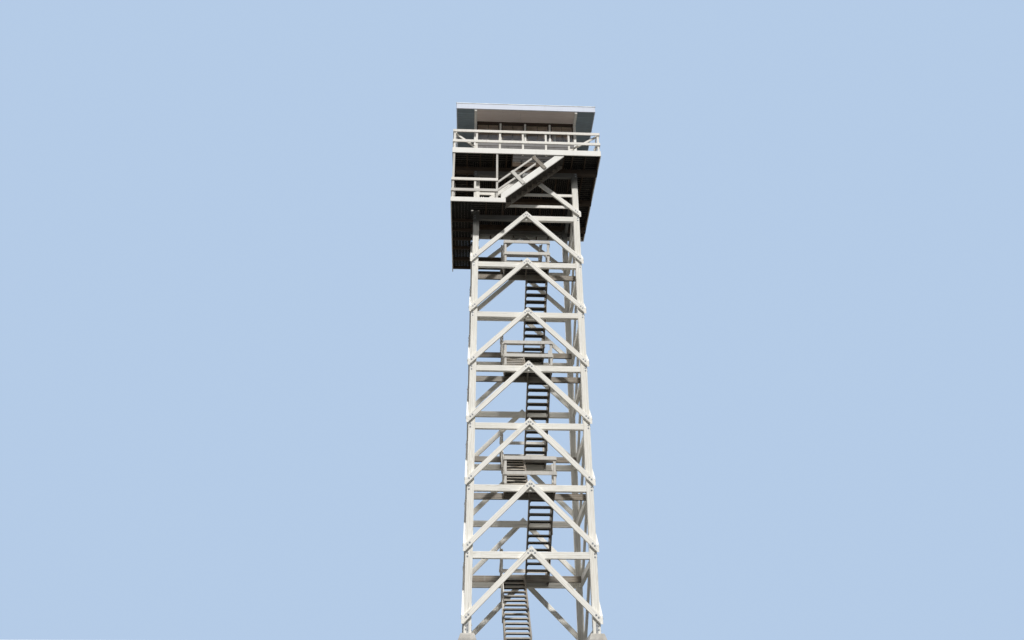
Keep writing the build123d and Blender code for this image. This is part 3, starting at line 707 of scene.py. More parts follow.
@dataclass(frozen=True)
class Timber(Sawn):
    """Bare timber, from fresh to grey."""

    light: Colour
    dark: Colour
    grey: Colour
    greying: float = 0.4
    checks: float = 0.7
    roughness: float = 0.8
    # The next four darken the colour as painted shade: faces that look down, and timber close under the deck,
    # the walkway's front end and its left corner.
    underside: float = 1.0
    under_deck: float = 1.0
    under_landing: float = 1.0
    under_corner: float = 1.0

    def inputs(self, graph: Graph) -> Inputs:
        """Ring figure, greyed patches, checks, darker ends, and painted shade on faces that look down and
        under the deck and walkway.

        Args:
            graph: the material's nodes.

        Returns:
            The shader's inputs.
        """
        _, own, figure, edges, sky = self.surface(graph, wear_width=0.012, variety=7.31)
        cracks = graph.times(figure["Checks"], self.checks)
        greyed = graph.times(graph.math("MAXIMUM", sky["Patches"], sky["Streaks"]), self.greying)
        colour = graph.mix(self.dark, (graph.ramp(figure["Figure"], 0.25, 0.8), self.light),
                           (graph.times(own, 0.35), self.dark), (greyed, self.grey),
                           (graph.times(edges["Edge"], 0.35), self.light), (cracks, scaled(self.dark, 0.25)),
                           (graph.times(edges["End"], 0.45), scaled(self.dark, 0.6)))
        # Painted shade: darker on faces that look down and in the sheltered places.
        upward = graph.split(graph.add("NewGeometry")["Normal"])[2]
        shade = graph.ramp(upward, -0.9, -0.4, self.underside, 1.0)
        shade_masks = graph.group(shelter, Place=graph.position())
        for place, least in (("Deck", self.under_deck), ("Landing", self.under_landing),
                             ("Corner", self.under_corner)):
            shade = graph.times(shade, graph.ramp(shade_masks[place], 0.0, 1.0, 1.0, least))
        rough = graph.ramp(figure["Figure"], 0.2, 0.9, self.roughness + 0.08, self.roughness - 0.08)
        return {"Base Color": graph.scale(colour, shade), "Roughness": rough, "Specular IOR Level": 0.2,
                "Height": graph.math("SUBTRACT", graph.times(figure["Fibre"], 0.35), cracks), "Depth": 0.0025}


@dataclass(frozen=True)
class Paint(Sawn):
    """Brushed paint on timber, worn through at the edges."""

    coat: Colour
    bare: Colour
    dirt: Colour
    wear: float = 0.6
    dirtiness: float = 0.3
    roughness: float = 0.78
    # How dark the painted shade at a wall's foot is, and the heights over which it fades.
    splash: float = 0.0
    splash_heights: tuple[float, float] = (20.88, 21.24)

    def inputs(self, graph: Graph) -> Inputs:
        """Brush marks, dirt in streaks, painted shade darkening the foot of a wall, bare timber where the
        coat has gone.

        Args:
            graph: the material's nodes.

        Returns:
            The shader's inputs.
        """
        grain, own, figure, edges, sky = self.surface(graph, wear_width=0.010, variety=5.17)
        dirty = graph.plus(graph.times(sky["Streaks"], 0.6), graph.times(sky["Patches"], 0.4))
        colour = graph.mix(self.coat, (graph.times(dirty, self.dirtiness), self.dirt),
                           (graph.times(own, 0.4 * self.dirtiness), self.dirt))
        # Painted shade: the foot of the wall darkened, with a ragged top.
        if self.splash:
            ragged = graph.times(graph.noise(graph.position(), (7.0, 7.0, 2.0), 4.0), 0.35)
            height = graph.math("SUBTRACT", graph.split(graph.position())[2], ragged)
            shaded_foot = graph.ramp(height, *self.splash_heights, self.splash, 0.0)
            colour = graph.mix(colour, (shaded_foot, scaled(self.dirt, 0.25)))
        flakes = graph.ramp(graph.noise(grain, (9.0, 42.0, 42.0), 4.0), 0.62, 0.68)
        flaked = graph.times(flakes, figure["Checks"])
        worn = graph.times(graph.math("MAXIMUM", graph.ramp(edges["Edge"], 0.25, 0.75), flaked), self.wear)
        timber = graph.mix(scaled(self.bare, 0.6), (figure["Figure"], self.bare))
        return {"Base Color": graph.mix(colour, (worn, timber)), "Specular IOR Level": 0.25,
                "Roughness": graph.ramp(worn, 0.0, 1.0, self.roughness, 0.85),
                "Height": graph.math("SUBTRACT", graph.times(figure["Fibre"], 0.25), worn), "Depth": 0.0012}


@dataclass(frozen=True)
class Concrete(Finish):
    """Concrete cast between boards, stained near the ground."""

    light: Colour
    dark: Colour

    def inputs(self, graph: Graph) -> Inputs:
        """Clouds, pores, board marks and a damp foot.

        Args:
            graph: the material's nodes.

        Returns:
            The shader's inputs.
        """
        place = graph.position()
        height = graph.split(place)[2]
        clouds = graph.noise(place, (3.0, 3.0, 3.0), 5.0)
        pores = graph.add("TexVoronoi", {"Vector": place, "Scale": 70.0})["Distance"]
        pits = graph.ramp(pores, 0.10, 0.22, 1.0, 0.0)
        marks = graph.ramp(graph.math("FRACT", graph.times(height, 9.5)), 0.0, 0.05, 0.7, 0.0)
        damp = graph.ramp(graph.plus(height, graph.times(clouds, 0.2)), 0.08, 0.26, 0.6, 0.0)
        stain = graph.math("MAXIMUM", damp, graph.times(pits, 0.5))
        relief = graph.math("SUBTRACT", graph.times(graph.noise(place, (90.0, 90.0, 90.0)), 0.4),
                            graph.math("MAXIMUM", pits, marks))
        return {"Base Color": graph.mix(self.dark, (graph.ramp(clouds, 0.3, 0.7), self.light),
                                        (stain, scaled(self.dark, 0.5))),
                "Roughness": graph.ramp(damp, 0.0, 0.6, 0.9, 0.7), "Height": relief, "Depth": 0.003}


@dataclass(frozen=True)
class Metal(Finish):
    """Galvanised or coated steel with dulled zinc and rust."""

    clean: Colour
    dull: Colour
    rust: Colour
    metallic: float
    rusting: float
    roughness: float

    def inputs(self, graph: Graph) -> Inputs:
        """Spangle, dull patches and rust from the grime.

        Args:
            graph: the material's nodes.

        Returns:
            The shader's inputs.
        """
        place = graph.position()
        sky = graph.group(weather, Place=place)
        spangle = graph.split(graph.add("TexVoronoi", {"Vector": place, "Scale": 130.0})["Color"])[0]
        rust = graph.times(graph.times(sky["Streaks"], sky["Grime"]), self.rusting)
        rough = graph.ramp(rust, 0.0, 0.5, self.roughness, 0.8)
        return {"Base Color": graph.mix(self.clean, (graph.times(spangle, 0.5), self.dull),
                                        (graph.times(sky["Patches"], 0.6), self.dull), (rust, self.rust)),
                "Roughness": graph.plus(graph.times(sky["Grime"], 0.2), rough),
                "Metallic": self.metallic, "Height": rust, "Depth": 0.0006}


@dataclass(frozen=True)
class Glass(Finish):
    """Sheet glass with a film of dust."""

    tint: Colour

    def inputs(self, graph: Graph) -> Inputs:
        """Clear, a little rough where dust lies and a little uneven.

        Args:
            graph: the material's nodes.

        Returns:
            The shader's inputs.
        """
        place = graph.position()
        dust = graph.noise(place, (3.0, 3.0, 1.2), 5.0)
        return {"Base Color": self.tint, "Roughness": graph.ramp(dust, 0.35, 0.8, 0.0, 0.08),
                "Transmission Weight": 1.0, "IOR": 1.45,
                "Height": graph.noise(place, (2.2, 2.2, 0.8), 1.0), "Depth": 0.0012}


@dataclass(frozen=True)
class Ground(Finish):
    """The studio floor: pale to the camera, and duller in the light that it throws back up."""

    pale: Colour
    paler: Colour
    bounce: Colour

    def inputs(self, graph: Graph) -> Inputs:
        """Faint speckles, which the camera alone sees.

        Args:
            graph: the material's nodes.

        Returns:
            The shader's inputs.
        """
        speckle = graph.noise(graph.position(), (1.4, 1.4, 1.4), 5.0)
        shown = graph.mix(self.pale, (speckle, self.paler))
        return {"Base Color": graph.mix(self.bounce, (graph.add("LightPath")["Is Camera Ray"], shown)),
                "Roughness": 0.9}


BARE = (0.50, 0.40, 0.29)
# The frame and braces get painted shade under the deck and walkway.
FRAME_TIMBER = Timber("frame_timber", (0.97, 0.955, 0.91), (0.80, 0.77, 0.69), (0.76, 0.755, 0.73), 0.32,
                      under_deck=0.18, under_landing=0.16)
BRACE_TIMBER = Timber("brace_timber", (0.97, 0.96, 0.92), (0.82, 0.79, 0.72), (0.78, 0.775, 0.75), 0.28,
                      under_deck=0.3, under_corner=0.2)
# Painted shade: near-black brown for the joists and beams under the deck and walkway.
SHADED_UNDER_TIMBER = Timber("under_timber", (0.115, 0.080, 0.053), (0.048, 0.033, 0.023), (0.085, 0.075, 0.066),
                      0.35)
STAIR_TIMBER = Timber("stair_timber", (0.40, 0.355, 0.295), (0.19, 0.16, 0.13), (0.35, 0.34, 0.32), 0.60,
                      underside=0.5)
# The boards' undersides are painted near-black as shade.
WALK_BOARDS = Timber("walk_boards", (0.58, 0.53, 0.45), (0.36, 0.31, 0.26), (0.50, 0.49, 0.46),
                     0.75, 0.8, 0.85, underside=0.06)
# Painted shade: the last flight's treads are darker than the other treads.
SHADED_FLIGHT_BOARDS = Timber("flight_boards", (0.30, 0.27, 0.23), (0.16, 0.14, 0.115), (0.27, 0.26, 0.25),
                       0.75, 0.8, 0.85, underside=0.3)
SOFFIT_BOARDS = Timber("soffit_stain", (0.97, 0.87, 0.83), (0.88, 0.77, 0.72), (0.87, 0.81, 0.79),
                       0.25, 0.3, 0.6)
# Painted shade: the soffit outside the plates is darker and bluer.
SHADED_EAVES_BOARDS = Timber("eaves_stain", (0.33, 0.41, 0.48), (0.22, 0.27, 0.31), (0.30, 0.34, 0.37),
                      0.3, 0.3, 0.6)
# A duller copy of the rail paint: partly wear and dirt, partly painted shade on rails inside the tower, under
# the deck and below the top rail.
WORN_AND_SHADED_RAIL_PAINT = Paint("landing_paint", (0.70, 0.68, 0.64), BARE, (0.38, 0.36, 0.33), 0.7, 0.5)
RAIL_PAINT = Paint("rail_paint", (0.92, 0.90, 0.85), BARE, (0.50, 0.45, 0.37))
RIM_PAINT = Paint("rim_paint", (0.95, 0.94, 0.905), BARE, (0.54, 0.50, 0.43), 0.5, 0.22)
TRIM_PAINT = Paint("trim_paint", (0.80, 0.78, 0.72), BARE, (0.42, 0.39, 0.33), 0.5, 0.3)
# The walls' feet get painted shade.
WALL_PAINT = Paint("wall_paint", (0.235, 0.23, 0.23), BARE, (0.15, 0.14, 0.13), 0.5, 0.4, splash=0.9)
LINING_PAINT = Paint("lining_paint", (0.52, 0.49, 0.43), BARE, (0.30, 0.27, 0.22), 0.4, 0.4)
FASCIA_PAINT = Paint("fascia_coat", (0.77, 0.83, 0.96), BARE, (0.52, 0.54, 0.58), 0.35, 0.2)
SASH_PAINT = Paint("sash_paint", (0.072, 0.049, 0.035), (0.20, 0.15, 0.10), (0.09, 0.075, 0.06),
                   0.5, 0.4, 0.45)
PIER_CONCRETE = Concrete("pier_concrete", (0.60, 0.58, 0.54), (0.42, 0.40, 0.37))
ZINC = Metal("zinc", (0.40, 0.40, 0.39), (0.26, 0.26, 0.26), (0.20, 0.085, 0.035), 0.7, 0.9, 0.6)
ROOF_SHEET = Metal("roof_sheet", (0.56, 0.57, 0.56), (0.47, 0.48, 0.48), (0.25, 0.12, 0.06), 0.25, 0.35, 0.5)
PANE = Glass("pane", (0.84, 0.77, 0.69))
GROUND = Ground("floor", (0.47, 0.50, 0.54), (0.51, 0.54, 0.575), (0.065, 0.063, 0.057))


@dataclass(frozen=True)
class Lamp:
    """A soft sun lamp."""

    name: str
    strength: float
    elevation: float
    azimuth: float
    spread: float

    def build(self) -> None:
        """Stand it round to the right of the front by its azimuth, in degrees."""
        data = bpy.data.lights.new(self.name, "SUN")
        data.energy, data.angle, data.color = self.strength, math.radians(self.spread), SUN_COLOUR
        lamp = placed(self.name, data)
        lamp.rotation_euler = (math.radians(90 - self.elevation), 0.0, math.radians(self.azimuth))


@dataclass
class Studio:
    """Camera, lamps, sky and floor."""

    place: Triple = (-2.054, -32.151, -4.842)
    pitch: float = 29.84
    yaw: float = 2.71
    roll: float = -0.236
    lens: float = 30.16
    sensor: float = 36.0
    flat_reach: float = 2.58
    brow_bend: float = 0.05
    fall: float = 0.19
    slope_end: float = 38.0
    foot_bend: float = 3.0
    floor_reach: float = 600.0
    sight: float = 2000.0
    lights: tuple[Lamp, ...] = (Lamp("key", 3.55, 48.0, 1.5, 3.0), Lamp("back", 2.2, 36.0, 186.0, 16.0),
                                Lamp("left", 0.7, 24.0, 270.0, 30.0), Lamp("right", 0.7, 24.0, 90.0, 30.0))
    fill: float = 0.14
    sky: Colour = (0.46, 0.60, 0.80)

    def build(self) -> None:
        """A key lamp from the front, soft weak ones from behind and beside, and the rest."""
        self.camera()
        for light in self.lights:
            light.build()
        self.world()
        self.floor()

    def camera(self) -> None:
        """A camera at the photograph's place, turned by yaw, pitch and roll."""
        pitch, yaw, roll = (math.radians(angle) for angle in (self.pitch, self.yaw, self.roll))
        ahead = Vector((math.sin(yaw) * math.cos(pitch), math.cos(yaw) * math.cos(pitch), math.sin(pitch)))
        level = Vector((math.cos(yaw), -math.sin(yaw), 0.0))
        upright = level.cross(ahead)
        right = level * math.cos(roll) + upright * math.sin(roll)
        up = upright * math.cos(roll) - level * math.sin(roll)
        data = bpy.data.cameras.new("camera")
        data.lens, data.clip_end = self.lens, self.sight
        data.sensor_width, data.sensor_fit = self.sensor, "HORIZONTAL"
        camera = placed("camera", data)
        turn = Matrix((right, up, -ahead)).transposed().to_4x4()
        camera.matrix_world = Matrix.Translation(self.place) @ turn
        bpy.context.scene.camera = camera

    def world(self) -> None:
        """An even sky: blue where it is seen or mirrored, and a weak grey fill on surfaces."""
        world = bpy.data.worlds.new("studio")
        bpy.context.scene.world = world
        graph = Graph.emptied(world)
        path = graph.add("LightPath")
        mirrored = graph.math("MAXIMUM", path["Is Glossy Ray"], path["Is Transmission Ray"])
        seen = graph.math("MAXIMUM", path["Is Camera Ray"], mirrored)
        colour = graph.mix(scaled(SKY_FILL, self.fill), (seen, self.sky))
        background = graph.add("Background", {"Color": colour, "Strength": 1.0})
        graph.add("OutputWorld", {"Surface": background[0]})

    def floor(self) -> None:
        """A pale floor: flat under the tower, a gentle slope in front down to the camera, flat beyond.

        The height is -fall * (soft(-y - flat_reach, brow_bend) - soft(-y - slope_end, foot_bend)),
        where soft(t, b) = b log(1 + exp(t / b)). Points lie close together where it bends.
        """
        across = np.linspace(-self.floor_reach, self.floor_reach, 25)
        along = np.concatenate((-np.geomspace(self.floor_reach, 3.5, 60), np.linspace(-3.4, -2.3, 45),
                                np.linspace(-1.0, self.floor_reach, 12)))
        x, y = np.meshgrid(across, along)
        drop = (self.brow_bend * np.logaddexp(0, (-y - self.flat_reach) / self.brow_bend)
                - self.foot_bend * np.logaddexp(0, (-y - self.slope_end) / self.foot_bend))
        mesh = bpy.data.meshes.new("floor")
        mesh.from_pydata(np.stack([x, y, -self.fall * drop], axis=-1).reshape(-1, 3).tolist(), [],
                         quads(len(along), len(across)).tolist())
        mesh.shade_smooth()
        mesh.materials.append(GROUND.material())
        placed("floor", mesh)


@dataclass
class Dressing:
    """CAD nodes whose timbers keep their shape and get eased edges and a finish."""

    name: str
    nodes: tuple[str, ...]
    finish: Finish
    slot: Slot
    bevel: float = 0.005
    other: Finish | None = None
    apart: Callable[[CadSolids], Array] | None = None

    def build(self) -> None:
        """Make one piece for each node, and one more where some timbers take the other finish."""
        for node in self.nodes:
            cad = cad_solids(node)
            others = self.apart(cad) if self.apart else np.zeros(len(cad.low), bool)
            make_object(f"{node}_timbers", cad.chosen(~others), self.finish.material(), self.slot,
                        (node,), self.bevel)
            if others.any():
                make_object(f"{node}_others", cad.chosen(others), self.other.material(), self.slot,
                            bevel=self.bevel)


@dataclass
class Boarding:
    """A floor or ceiling node laid with boards.

    Along says for each plate, or once for all, whether they run along X (0) or Y (1).
    """

    node: str
    along: tuple[int, ...]
    finish: Finish
    slot: Slot
    width: float = 0.140
    gap: float = 0.006
    longest: float = 3.9
    bevel: float = 0.004
    joists: str = ""
    nail: tuple[tuple[float, float], ...] = ((0.0048, -0.001), (0.0048, 0.0006), (0.0024, 0.0014))
    nail_inset: float = 0.16
    cuts: tuple[float, ...] = (0.27, 0.36, 0.45, 0.55, 0.64, 0.73)
    end_joint: float = 0.0015
    unevenness: float = 0.0015

    def rows(self, low: Array, high: Array, along: int, name: str) -> Solids:
        """Boards of one plate: even rows across, cut in two over the joists where they are long.

        Args:
            low: the plate's lowest corner.
            high: its highest corner.
            along: 0 or 1 for boards along X or Y.
            name: seeds the random numbers.

        Returns:
            The boards.
        """
        across = 1 - along
        span = high[across] - low[across]
        count = max(1, round((span + self.gap) / (self.width + self.gap)))
        step = (span + self.gap) / count
        starts = low[across] + step * np.arange(count)
        draw = seeded(name)
        lows, highs = np.tile(low, (count, 1)), np.tile(high, (count, 1))
        lows[:, across], highs[:, across] = starts, starts + step - self.gap
        length = high[along] - low[along]
        if length > self.longest:
            cut = low[along] + length * draw.choice(self.cuts, count)
            near, far = highs.copy(), lows.copy()
            near[:, along], far[:, along] = cut - self.end_joint, cut + self.end_joint
            lows, highs = np.concatenate((lows, far)), np.concatenate((near, highs))
        highs[:, 2] -= draw.random(len(lows)) * self.unevenness
        return timbers(lows, highs, along, name)

    def nails(self, boards: Solids, along: int, beams: CadSolids) -> Array:
        """Two nails in every board where it crosses a beam.

        Args:
            boards: boxes of eight corners each.
            along: 0 or 1 for boards along X or Y.
            beams: the timbers below.

        Returns:
            The nails' places, (N, 3).
        """
        across, near, over = 1 - along, 0.01, 0.04
        corners = boards.points.reshape(-1, 8, 3)
        low, high = corners.min(axis=1)[:, None], corners.max(axis=1)[:, None]
        foot, top = beams.low, beams.high
        middle = (foot + top)[:, along] / 2
        crossed = (middle > low[..., along] + near) & (middle < high[..., along] - near)
        covered = (foot[:, across] < low[..., across] + over) & (top[:, across] > high[..., across] - over)
        board, beam = np.nonzero(crossed & covered & (np.abs(low[..., 2] - top[:, 2]) < near))
        places = np.zeros((2, len(board), 3))
        places[..., along] = middle[beam]
        inset = (self.nail_inset * (high - low)[:, 0, across])[board]
        places[0, :, across] = low[board, 0, across] + inset
        places[1, :, across] = high[board, 0, across] - inset
        places[..., 2] = high[board, 0, 2]
        return places.reshape(-1, 3)

    def build(self) -> None:
        """Lay every plate of the node, and nail it down."""
        plates = cad_solids(self.node)
        along = self.along * len(plates.low) if len(self.along) == 1 else self.along
        parts = [self.rows(low, high, way, f"{self.node}{number}")
                 for number, (low, high, way) in enumerate(zip(plates.low, plates.high, along))]
        make_object(f"{self.node}_boards", gathered(parts), self.finish.material(), self.slot,
                    (self.node,), self.bevel)
        if self.joists:
            beams = cad_solids(self.joists)
            places = np.concatenate([self.nails(part, way, beams) for part, way in zip(parts, along)])
            nails = stamped(lathe(self.nail, HEXAGON), places, np.eye(3), self.node)
            make_object(f"{self.node}_nails", nails, ZINC.material(), self.slot)


@dataclass
class Bolts:
    """Through bolts with square washers on the frame's outer faces."""

    washer: float = 0.064
    plate: float = 0.005
    head: float = 0.017
    head_height: float = 0.014
    leg: float = 0.254
    brace_tip: float = 0.068
    foot_insets: tuple[float, float] = (0.125, 0.235)
    head_insets: tuple[float, float] = (0.085, 0.195)
    girt_lift: float = 0.06
    post_reach: float = 0.09
    post_height: float = 0.9
    post_width: float = 0.1
    rail_height: float = 0.2
    rail_length: float = 0.8
    rails: tuple[str, ...] = sided("catwalk_rail") + ("walkway_front_rail", "walkway_side_rail",
                                                      "walkway_rear_rail", "landing_end_rails",
                                                      "landing_side_rails")

    def heads(self, spots: Iterable[Spots], name: str) -> Solids:
        """Washers and hexagonal heads.

        Args:
            spots: sets of points on the timber's faces and of the faces' normals, each (N, 3).
            name: seeds the random numbers.

        Returns:
            The bolts.
        """
        places, outward = (np.concatenate(group) for group in zip(*spots))
        axes, plate, top = facing(outward), self.plate, self.plate + self.head_height
        washers = stamped(CUBE, places + outward * plate / 2, axes, name,
                          np.array([self.washer / 2, self.washer / 2, plate / 2]))
        form = lathe([(self.head, plate), (self.head, plate + self.head_height * CHAMFER),
                      (self.head * CHAMFER, top)], HEXAGON)
        return gathered([washers, stamped(form, places, axes, name)])

    def brace_spots(self) -> Iterator[Spots]:
        """Two bolts at each end of each brace, on its axis.

        Returns:
            Sets of places and outward normals.
        """
        for side in Side:
            cad = cad_solids(f"{side.label}_braces")
            outward = np.broadcast_to(-side.frame[1], cad.centre.shape)
            along = cad.axes[:, 0] * np.sign(cad.axes[:, 0, 2])[:, None]
            face = cad.centre + outward * cad.half[:, 2:3]
            reach = cad.half[:, :1] - self.brace_tip
            for distance in ([inset - reach for inset in self.foot_insets]
                             + [reach - inset for inset in self.head_insets]):
                yield face + along * distance, outward

    def girt_spots(self) -> Iterator[Spots]:
        """Two bolts through the leg into each end of each girt.

        Returns:
            Sets of places and outward normals.
        """
        for side in Side:
            cad = cad_solids(f"{side.label}_girts")
            for end in (-1, 1):
                outward = np.broadcast_to(end * side.frame[0], cad.centre.shape)
                face = cad.centre + outward * (cad.half[:, :1] + self.leg)
                for lift in (-self.girt_lift, self.girt_lift):
                    yield face + np.array([0.0, 0.0, lift]), outward

    def rail_spots(self) -> Iterator[Spots]:
        """The nut of one bolt through each rail and post, on the post's inner face.

        A post is a tall narrow timber, and a rail a long shallow one.

        Returns:
            Sets of places and normals.
        """
        for node in self.rails:
            cad = cad_solids(node)
            size, middle = cad.high - cad.low, (cad.high + cad.low) / 2
            widest = size[:, :2].max(axis=1)
            upright = (size[:, 2] > self.post_height) & (widest < self.post_width)
            level = (size[:, 2] < self.rail_height) & (widest > self.rail_length)
            for low, high, centre in zip(cad.low[level], cad.high[level], middle[level]):
                thin = int(np.argmin((high - low)[:2]))
                way = 1 - thin
                posts = (upright & (middle[:, way] > low[way]) & (middle[:, way] < high[way])
                         & (np.abs(middle[:, thin] - centre[thin]) < self.post_reach)
                         & (cad.low[:, 2] < centre[2]) & (cad.high[:, 2] > centre[2]))
                spot = np.tile(centre, (posts.sum(), 1))
                inward = np.zeros(spot.shape)
                inward[:, thin] = np.sign(middle[posts, thin] - centre[thin])
                spot[:, way] = middle[posts, way]
                spot[:, thin] = middle[posts, thin] + inward[:, thin] * size[posts, thin] / 2
                yield spot, inward

    def build(self) -> None:
        """Make the brace bolts, the girt bolts and the smaller rail bolts."""
        small = replace(self, washer=0.036, plate=0.003, head=0.010, head_height=0.008)
        for name, size, spots, slot in (("brace_bolts", self, self.brace_spots(), Slot.TIMBER),
                                        ("girt_bolts", self, self.girt_spots(), Slot.TIMBER),
                                        ("rail_bolts", small, self.rail_spots(), Slot.RAIL)):
            make_object(name, size.heads(spots, name), ZINC.material(), slot)


@dataclass
class Cab:
    """Walls, windows and door of the cab."""

    half: float = 2.340
    courses: int = 6
    siding: float = 0.016
    lap: float = 0.018
    overlap: float = 0.018
    core_back: float = 0.042
    lining: float = 0.012
    lining_board: float = 0.092
    gap: float = 0.001
    sill: float = 0.034
    sill_out: float = 0.028
    sill_in: float = 0.018
    bar: float = 0.022
    bar_depth: float = 0.012
    pane: float = 0.003
    door_boards: int = 7
    waist_rail: float = 0.16
    knob_drop: float = 0.06
    knob_sides: int = 20
    hinge_sides: int = 12
    knob: tuple[tuple[float, float], ...] = ((0.024, 0.0), (0.024, 0.004), (0.010, 0.008), (0.010, 0.030),
                                             (0.024, 0.040), (0.027, 0.052), (0.020, 0.062), (0.006, 0.066))
    hinge: tuple[tuple[float, float], ...] = ((0.007, -0.05), (0.007, 0.05))
    hinge_inset: float = 0.2
    hinge_middle: float = 1.0
    hinge_place: tuple[float, float] = (-0.004, 0.006)
    thickest_panel: float = 0.02

    def clapboards(self, side: Side, low: Array, high: Array) -> Solids:
        """Lapped siding: boards that lean so that each foot covers the head of the next.

        Args:
            side: the wall's side.
            low: the wall's lowest corner in its side's own axes.
            high: its highest corner, under the sill.

        Returns:
            The boards, in the side's own axes.
        """
        step = (high[2] - low[2]) / self.courses
        lean = math.atan2(self.lap, step)
        height = step + self.overlap
        sine, cosine = math.sin(lean), math.cos(lean)
        axes = np.array([[1, 0, 0], [0, sine, cosine], [0, -cosine, sine]])
        rows = low[2] + step * np.arange(self.courses)
        centre = np.stack([np.full(self.courses, (low[0] + high[0]) / 2),
                           np.full(self.courses, -self.half + self.siding / 2 + height / 2 * sine),
                           rows + height / 2 * cosine], axis=1)
        centre[-1, 2] -= self.overlap
        size = np.array([(high[0] - low[0]) / 2 - self.gap, height / 2, self.siding / 2])
        return stamped(CUBE, centre, axes, f"{side.label}_clapboards", size)

    def walls(self) -> None:
        """Core, clapboards, lining and sill of each lower wall, made in its side's own axes."""
        for side in Side:
            name = f"{side.label}_wall"
            ends = [side.frame @ np.array(corner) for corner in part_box(name)]
            low, high = np.minimum(*ends), np.maximum(*ends)
            top = high[2] - self.sill
            under = np.array([high[0], high[1], top])
            core = timbers([low[0], -self.half + self.core_back, low[2]],
                           [high[0], high[1] - self.lining - self.gap, top], 0, name)
            lining = upright_boards(np.array([low[0], high[1] - self.lining, low[2]]), under,
                                    round((high[0] - low[0]) / self.lining_board), name + "_lining")
            ledge = timbers([low[0], -self.half - self.sill_out, top],
                            [high[0], high[1] + self.sill_in, high[2]], 0, name + "_sill")
            siding = gathered([self.clapboards(side, low, under), core])
            for part, solids, finish, nodes, bevel in (("siding", siding, WALL_PAINT, (name,), 0.002),
                                                       ("lining", lining, LINING_PAINT, (), 0.003),
                                                       ("sill", ledge, WALL_PAINT, (), 0.005)):
                make_object(f"{name}_{part}", replace(solids, points=solids.points @ side.frame),
                            finish.material(), Slot.WALL, nodes, bevel)

    def windows(self) -> None:
        """The panes' glass, and glazing bars on both faces of each: one upright, one across."""
        cad = cad_solids("window_glass")
        size, middle = (cad.high - cad.low) / 2, (cad.high + cad.low) / 2
        thin = np.argmin(size, axis=1)
        rows, wide = np.arange(len(thin)), 1 - thin
        parts = []
        for face in (-1, 1):
            for upright in (True, False):
                half, centre = size.copy(), middle.copy()
                half[rows, wide] = self.bar / 2 if upright else size[rows, wide]
                half[:, 2] = size[:, 2] if upright else self.bar / 2
                half[rows, thin] = self.bar_depth / 2
                centre[rows, thin] += face * (self.pane + self.bar_depth / 2)
                for axis in (0, 1):
                    chosen, along = wide == axis, 2 if upright else axis
                    parts.append(timbers((centre - half)[chosen], (centre + half)[chosen], along,
                                         f"bars{face}{upright}{axis}"))
        make_object("window_bars", gathered(parts), SASH_PAINT.material(), Slot.SASH, bevel=0.003)
        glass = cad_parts["window_glass"].data.materials
        glass.clear()
        glass.append(PANE.material())

    def door(self) -> None:
        """The open leaf: its stiles and rails, a boarded lower panel, a knob and hinges."""
        cad = cad_solids("door_leaf")
        (left, near, foot), (right, far, head) = cad.low.min(axis=0), cad.high.max(axis=0)
        thin = (cad.high - cad.low)[:, 1] < self.thickest_panel
        panel_low, panel_high = cad.low[thin][0], cad.high[thin][0]
        boards = upright_boards(panel_low, panel_high, self.door_boards, "door_boards")
        make_object("door_joinery", gathered([cad.chosen(~thin), boards]), TRIM_PAINT.material(), Slot.WALL,
                    ("door_leaf",), 0.003)
        across, height = (left + panel_low[0]) / 2, panel_high[2] + self.waist_rail - self.knob_drop
        outward = np.array([[0.0, -1.0, 0.0], [0.0, 1.0, 0.0]])
        places = np.array([[across, near, height], [across, far, height]])
        knobs = stamped(lathe(self.knob, self.knob_sides), places, facing(outward), "knob")
        x, y = right + self.hinge_place[0], far + self.hinge_place[1]
        levels = (foot + self.hinge_inset, foot + self.hinge_middle, head - self.hinge_inset)
        places = np.array([[x, y, level] for level in levels])
        hinges = stamped(lathe(self.hinge, self.hinge_sides), places, np.eye(3), "hinge")
        make_object("door_fittings", gathered([knobs, hinges]), ZINC.material(), Slot.WALL)

    def build(self) -> None:
        """Make all of it."""
        self.walls()
        self.windows()
        self.door()


